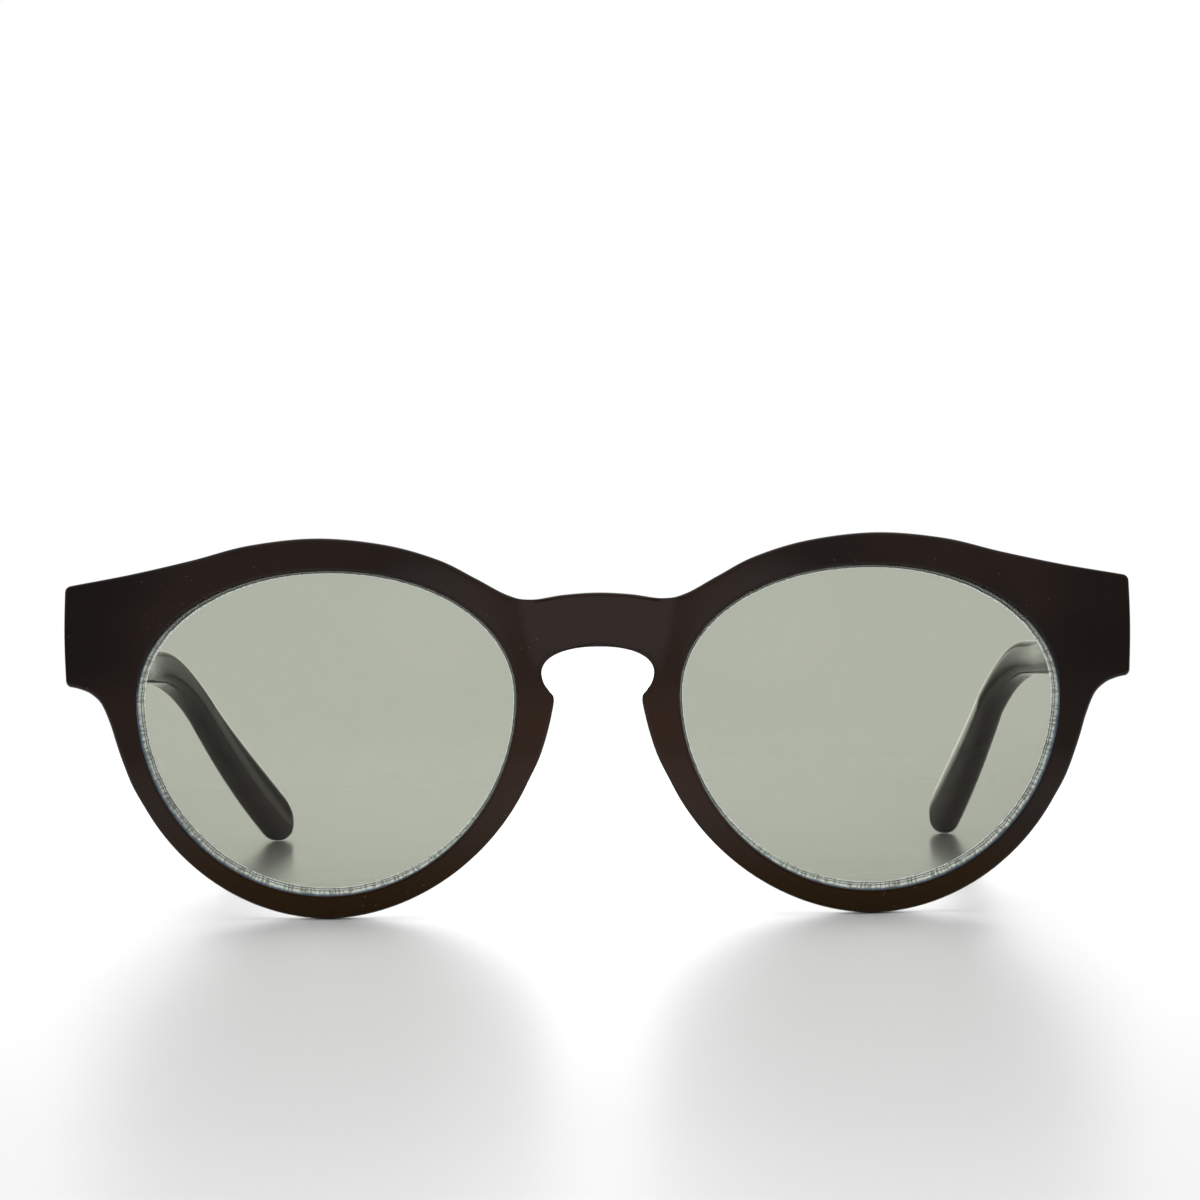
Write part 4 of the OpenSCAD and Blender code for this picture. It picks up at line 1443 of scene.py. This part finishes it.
class Hinge:
    """The right-hand hinge in the front's square frame, in millimetres."""

    bore = 0.74  # radius of the hole through the barrels
    barrels, barrel_edge = 5, 0.09  # how many, and the chamfer of their rims
    half_gap = 0.03  # half the gap between two barrels
    head_seat = 1.16  # radius of the seat for the screw's head
    head_room = 0.04  # gap under the screw's head
    leaf_beyond = 0.8  # how far a leaf goes above and below the barrels
    front_corner, temple_corner = 0.7, 0.9  # rounding of the leaves' outlines
    web_clear = 0.78  # from the axis to the webs that join barrels and leaf
    web_sunk = 0.5  # how deep the front leaf's webs start in the plastic
    web_over = 1.4  # how far the temple leaf's webs reach along it
    web_corner, web_edge = 0.05, 0.03
    shank_gap = 0.02  # how much thinner the shank's radius is than half its size
    shank_below, shank_edge = 0.1, 0.12
    head, head_edge = 1.1, 0.07  # radius of the screw's head and chamfer of its halves
    head_sunk = 0.01  # from the top of the barrels' room down to the head
    slot_half, slot_depth = 0.175, 0.24
    slot_turn = 30  # in degrees

    def __init__(self, shape, scene):
        sizes = scene.sunglasses_hinge
        self.height, self.radius = sizes.height / MM, sizes.barrel / MM / 2
        self.leaf, self.room = sizes.leaf / MM, sizes.room / MM
        self.front_length, self.temple_length = sizes.front_leaf / MM, sizes.temple_leaf / MM
        self.shank = sizes.screw / MM / 2 - self.shank_gap
        thick = scene.sunglasses_temple.thickness / MM
        self.x = shape.half - OUTER_GAP - thick - self.room - self.radius
        self.y = shape.seat + self.room + self.radius
        self.bottom = (shape.end_top + shape.end_bottom - self.height) / 2
        self.seat = shape.seat
        self.low = self.bottom - self.leaf_beyond
        self.high = self.bottom + self.height + self.leaf_beyond

    def barrel(self, solid, i, seat=0.0):
        """One of the barrels, counted from below; the top one has a seat for the screw's head."""
        r, c = self.radius, self.barrel_edge
        step = self.height / self.barrels
        low = self.bottom + i * step + self.half_gap
        high = self.bottom + (i + 1) * step - self.half_gap
        floor = high - SCREW_HEAD - self.head_room
        inside = [(seat, high), (seat, floor), (self.bore, floor)] if seat else [(self.bore, high)]
        profile = [(self.bore, low), (r - c, low), (r, low + c), (r, high - c), (r - c, high)]
        solid.turned(profile + inside, self.x, self.y, True)
        return low, high

    def web(self, solid, low, high):
        solid.block(low, high, 2, self.web_corner, self.web_edge)

    def front_leaf(self):
        """The leaf on the front, with three barrels and two webs to each."""
        solid = Solid()
        x, y, r, clear = self.x, self.y, self.radius, self.web_clear
        top, root = self.seat + PROUD, self.seat - self.web_sunk
        low = (x - self.front_length, top - self.leaf, self.low)
        solid.block(low, (x, top, self.high), 1, self.front_corner)
        for i in (0, 2, 4):
            z0, z1 = self.barrel(solid, i, self.head_seat if i == 4 else 0.0)
            self.web(solid, (x - r, root, z0), (x - clear, y, z1))
            self.web(solid, (x - r, root, z0), (x, y - clear, z1))
        return solid

    def temple_leaf(self):
        """The leaf on the temple, with two barrels and two webs to each."""
        solid = Solid()
        x, y, r, clear = self.x, self.y, self.radius, self.web_clear
        face, start = x + r + self.room, y + r + self.room
        proud, end = face - PROUD, start + self.web_over
        high = (proud + self.leaf, start + self.temple_length, self.high)
        solid.block((proud, start, self.low), high, 0, self.temple_corner)
        for i in (1, 3):
            z0, z1 = self.barrel(solid, i)
            self.web(solid, (x + clear, y, z0), (face, end, z1))
            self.web(solid, (x, y + clear, z0), (face, end, z1))
        return solid

    def screw(self):
        """A shank, a round head and, on it, two half rounds with the slot between them."""
        solid = Solid()
        x, y, shank, head, edge = self.x, self.y, self.shank, self.head, self.shank_edge
        top = self.bottom + self.height - self.head_sunk
        floor, under = top - self.slot_depth, top - SCREW_HEAD
        low = self.bottom - self.shank_below
        solid.turned([(shank - edge, low), (shank, low + edge), (shank, under)], x, y, False)
        solid.turned([(head, under), (head, floor)], x, y, False)
        reach = math.degrees(math.asin(self.slot_half / head))
        for turned in (self.slot_turn, self.slot_turn + 180):
            end = turned + 180 - reach
            half = arc((x, y), head, turned + reach, end, 20) + arc((x, y), head, end, end + 1, 1)
            solid.slab(half, floor, top, 2, self.head_edge)
        return solid


class SUNGLASSES_OT_hinges(bpy.types.Operator):
    """Build the barrel hinges: two leaves each, with a slotted screw"""

    bl_idname = "sunglasses.hinges"
    bl_label = "Hinges"

    def execute(self, context):
        shape, stand = shapes()
        hinge = Hinge(shape, context.scene)
        for side, way in (("left", -1), ("right", 1)):
            for part, node, body, solid in (
                ("front_leaf", "hinge_front_", "front", hinge.front_leaf()),
                ("temple_leaf", "hinge_temple_", side + "_temple", hinge.temple_leaf()),
                ("screw", "hinge_screw_", "front", hinge.screw()),
            ):
                placed = [stand((way * x, y, z)) for x, y, z in solid.points]
                made = piece(f"hinge_{side}_{part}", placed, solid.faces, [nickel()], sharp=25)
                settle(made, body, node + side)
        return {"FINISHED"}


# Stage: table, lamps, surroundings and camera


def lamp(name, place, spot, size, glow):
    """A soft rectangular lamp that shines with an even glow over its whole face."""
    data = bpy.data.lights.new(name, "AREA")
    data.shape = "RECTANGLE"
    data.size, data.size_y = size
    data.energy = glow * math.pi * size[0] * size[1]
    made = bpy.data.objects.new(name, data)
    made.location = place
    made.rotation_euler = (Vector(spot) - made.location).to_track_quat("-Z", "Y").to_euler()
    bpy.context.scene.collection.objects.link(made)


class SUNGLASSES_OT_stage(bpy.types.Operator):
    """Set up the table, the lamps, the pale surroundings and the camera"""

    bl_idname = "sunglasses.stage"
    bl_label = "Stage"

    def execute(self, context):
        scene = context.scene
        look = scene.sunglasses_stage
        self.table(scene)
        self.surroundings(scene, look)
        self.softboxes(look.lamps)
        self.camera(scene, look)
        scene.view_settings.view_transform = "Standard"
        return {"FINISHED"}

    def table(self, scene):
        """A glossy pale sheet that fades into the white behind it, with painted shade ahead of the
        glasses and on its part behind them that is seen through the lenses.
        """
        half = 1.2  # half the sheet's width, in metres
        front_fades = (-0.24, -0.07)  # along y, where the shade painted on its part ahead of the glasses ends
        behind_starts = (-0.05, 0.05)  # along y, where its smoother part behind the front starts
        middle, edge_fades = (0, -0.1, 0), (0.2, 0.6)  # where it is whole, and where it fades
        clouded, painted_shade_ahead_factor, cloud_span = 0.995, 0.8, (0.2, 0.8)
        painted_seen_shade = 0.5  # painted shade on the part behind, where it is seen through the lenses
        rough_ahead, rough_behind = 0.31, 0.2

        f = Finish("pale_table")
        pale = scene.sunglasses_finish.table
        clouds = f.spread(f.noise(f.place(scale=3), detail=0.0), *cloud_span, soft=True)
        near = f.add("SeparateXYZ", Vector=f.where()).outputs["Y"]
        painted_shade_ahead = f.spread(near, *front_fades, 1.0, 0.0)
        behind = f.spread(near, *behind_starts, soft=True)
        tone = f.blend(clouds, shade(pale), shade(pale, clouded))
        # Painted shade: the table is made darker ahead of the glasses.
        tone = f.blend(painted_shade_ahead, tone, shade(pale, painted_shade_ahead_factor))
        # Painted shade: the table behind the front is darker only where it is seen through the
        # lenses.
        seen = f.times(behind, f.add("LightPath").outputs["Is Transmission Ray"])
        f.set(Base_Color=f.blend(seen, tone, shade(pale, painted_seen_shade)))
        f.set(Roughness=f.spread(behind, 0.0, 1.0, rough_ahead, rough_behind), IOR=1.5)
        away = f.vectors("DISTANCE", f.where(), middle).outputs["Value"]
        f.set(Alpha=f.spread(away, *edge_fades, 1.0, 0.0, soft=True))

        mesh = bpy.data.meshes.new("table_top")
        corners = [(-half, -half, 0), (half, -half, 0), (half, half, 0), (-half, half, 0)]
        mesh.from_pydata(corners, [], [(0, 1, 2, 3)])
        mesh.materials.append(f.material)
        made = bpy.data.objects.new("table_top", mesh)
        scene.collection.objects.link(made)

    def softboxes(self, glow):
        """One large lamp above the glasses and one at each side, aimed at them."""
        spot = (0, -0.03, 0.02)  # in the middle of the glasses' front half
        lamp("top_softbox", place=(0, 0, 0.9), spot=spot, size=(1.3, 1.3), glow=0.4 * glow)
        for side, x in (("left", -0.95), ("right", 0.95)):
            place = (x, -0.15, 0.55)
            lamp(side + "_softbox", place, spot, size=(0.6, 0.8), glow=0.25 * glow)

    def surroundings(self, scene, look):
        """White to the camera; polished faces see it bright behind and dim elsewhere."""
        backdrop_fades = (0.04, 0.40)  # sideways, from the middle of the backdrop
        backdrop_edge = 0.1  # its brightness at the sides
        back_full = 0.6  # how far backwards a way points where the backdrop is fully bright
        skyline_fades = (0.025, 0.06)  # up and down, from the level
        skyline_starts, skyline_thins = (-0.40, -0.28), (-0.10, 0.12)  # from left to right
        skyline_right = 0.4  # the share of its brightness that is left on the right
        card_turn = 15  # how far above the level the card ahead is seen, in degrees
        wide_from, wide_full = 0.2, 0.97  # cosines of the angle from the card's middle
        card_from, card_full = 0.985, 0.9985  # the same for the card itself

        world = bpy.data.worlds.new("pale_room")
        scene.world = world
        world.use_nodes = True
        world.node_tree.nodes.clear()
        n = Nodes(world.node_tree)
        way = n.add("TexCoord").outputs["Generated"]
        path = n.add("LightPath").outputs
        sideways = n.along(way, (1, 0, 0))
        aside = n.math("ABSOLUTE", sideways)
        backdrop = n.spread(aside, *backdrop_fades, look.behind, backdrop_edge, soft=True)
        faces_back = n.spread(n.along(way, (0, 1, 0)), 0.0, back_full, soft=True)
        level = n.math("ABSOLUTE", n.along(way, (0, 0, 1)))
        reach = n.times(
            n.spread(sideways, *skyline_starts, soft=True),
            n.spread(sideways, *skyline_thins, 1.0, skyline_right, soft=True),
        )
        skyline = n.times(n.spread(level, *skyline_fades, look.skyline, 0.0, soft=True), reach)
        c, s = compass(card_turn)
        ahead = n.along(way, (0, -c, s))
        wide = n.spread(ahead, wide_from, wide_full, look.dim, look.ahead, soft=True)
        card = n.spread(ahead, card_from, card_full, 0.0, look.card, soft=True)
        shiny = n.plus(n.times(n.plus(backdrop, skyline), faces_back), n.plus(wide, card))
        polished = n.times(path["Is Glossy Ray"], n.math("SUBTRACT", shiny, look.fill))
        unseen = n.plus(look.fill, polished)
        through = path["Is Transmission Ray"]
        straight = n.math("MAXIMUM", path["Is Camera Ray"], through)
        seen = n.spread(through, 0.0, 1.0, 1.0, look.through)
        strength = n.plus(unseen, n.times(straight, n.math("SUBTRACT", seen, unseen)))
        glow = n.add("Background", Strength=strength, Color=(1, 1, 1, 1))
        out = n.add("OutputWorld")
        n.links.new(glow.outputs[0], out.inputs["Surface"])

    def camera(self, scene, look):
        """The camera ahead of the front, tipped down and rolled a little."""
        data = bpy.data.cameras.new("camera")
        data.sensor_fit = "HORIZONTAL"
        data.sensor_width = 36.0
        data.lens = look.focal
        data.shift_x, data.shift_y = 0.0025, 0.0033
        data.clip_start = 0.01
        made = bpy.data.objects.new("camera", data)
        foremost = CAD_BOX[0][1]
        made.location = (0, foremost - look.distance, look.eye_level)
        level = Matrix.Rotation(math.pi / 2 - look.pitch, 4, "X")
        made.rotation_euler = (level @ Matrix.Rotation(-look.roll, 4, "Z")).to_euler()
        scene.collection.objects.link(made)
        scene.camera = made


OPERATORS = (
    SUNGLASSES_OT_front,
    SUNGLASSES_OT_lenses,
    SUNGLASSES_OT_pads,
    SUNGLASSES_OT_temples,
    SUNGLASSES_OT_wires,
    SUNGLASSES_OT_hinges,
    SUNGLASSES_OT_stage,
)


class SUNGLASSES_PT_panel(bpy.types.Panel):
    """Sizes, colours and pieces of the sunglasses"""

    bl_label = "Sunglasses"
    bl_idname = "SUNGLASSES_PT_panel"
    bl_space_type = "VIEW_3D"
    bl_region_type = "UI"
    bl_category = "Sunglasses"

    def draw(self, context):
        layout = self.layout
        for key, group in GROUPS.items():
            box = layout.box()
            box.label(text=group.__doc__)
            for field in group.__annotations__:
                box.prop(getattr(context.scene, key), field)
        for operator in OPERATORS:
            layout.operator(operator.bl_idname)


def register():
    for group in GROUPS.values():
        bpy.utils.register_class(group)
    for key, group in GROUPS.items():
        setattr(bpy.types.Scene, key, PointerProperty(type=group))
    for cls in (*OPERATORS, SUNGLASSES_PT_panel):
        bpy.utils.register_class(cls)


def unregister():
    for cls in (SUNGLASSES_PT_panel, *reversed(OPERATORS)):
        bpy.utils.unregister_class(cls)
    for key in GROUPS:
        delattr(bpy.types.Scene, key)
    for group in reversed(list(GROUPS.values())):
        bpy.utils.unregister_class(group)


def main():
    register()
    for operator in OPERATORS:
        family, action = operator.bl_idname.split(".")
        getattr(getattr(bpy.ops, family), action)()


if __name__ == "__main__":
    main()
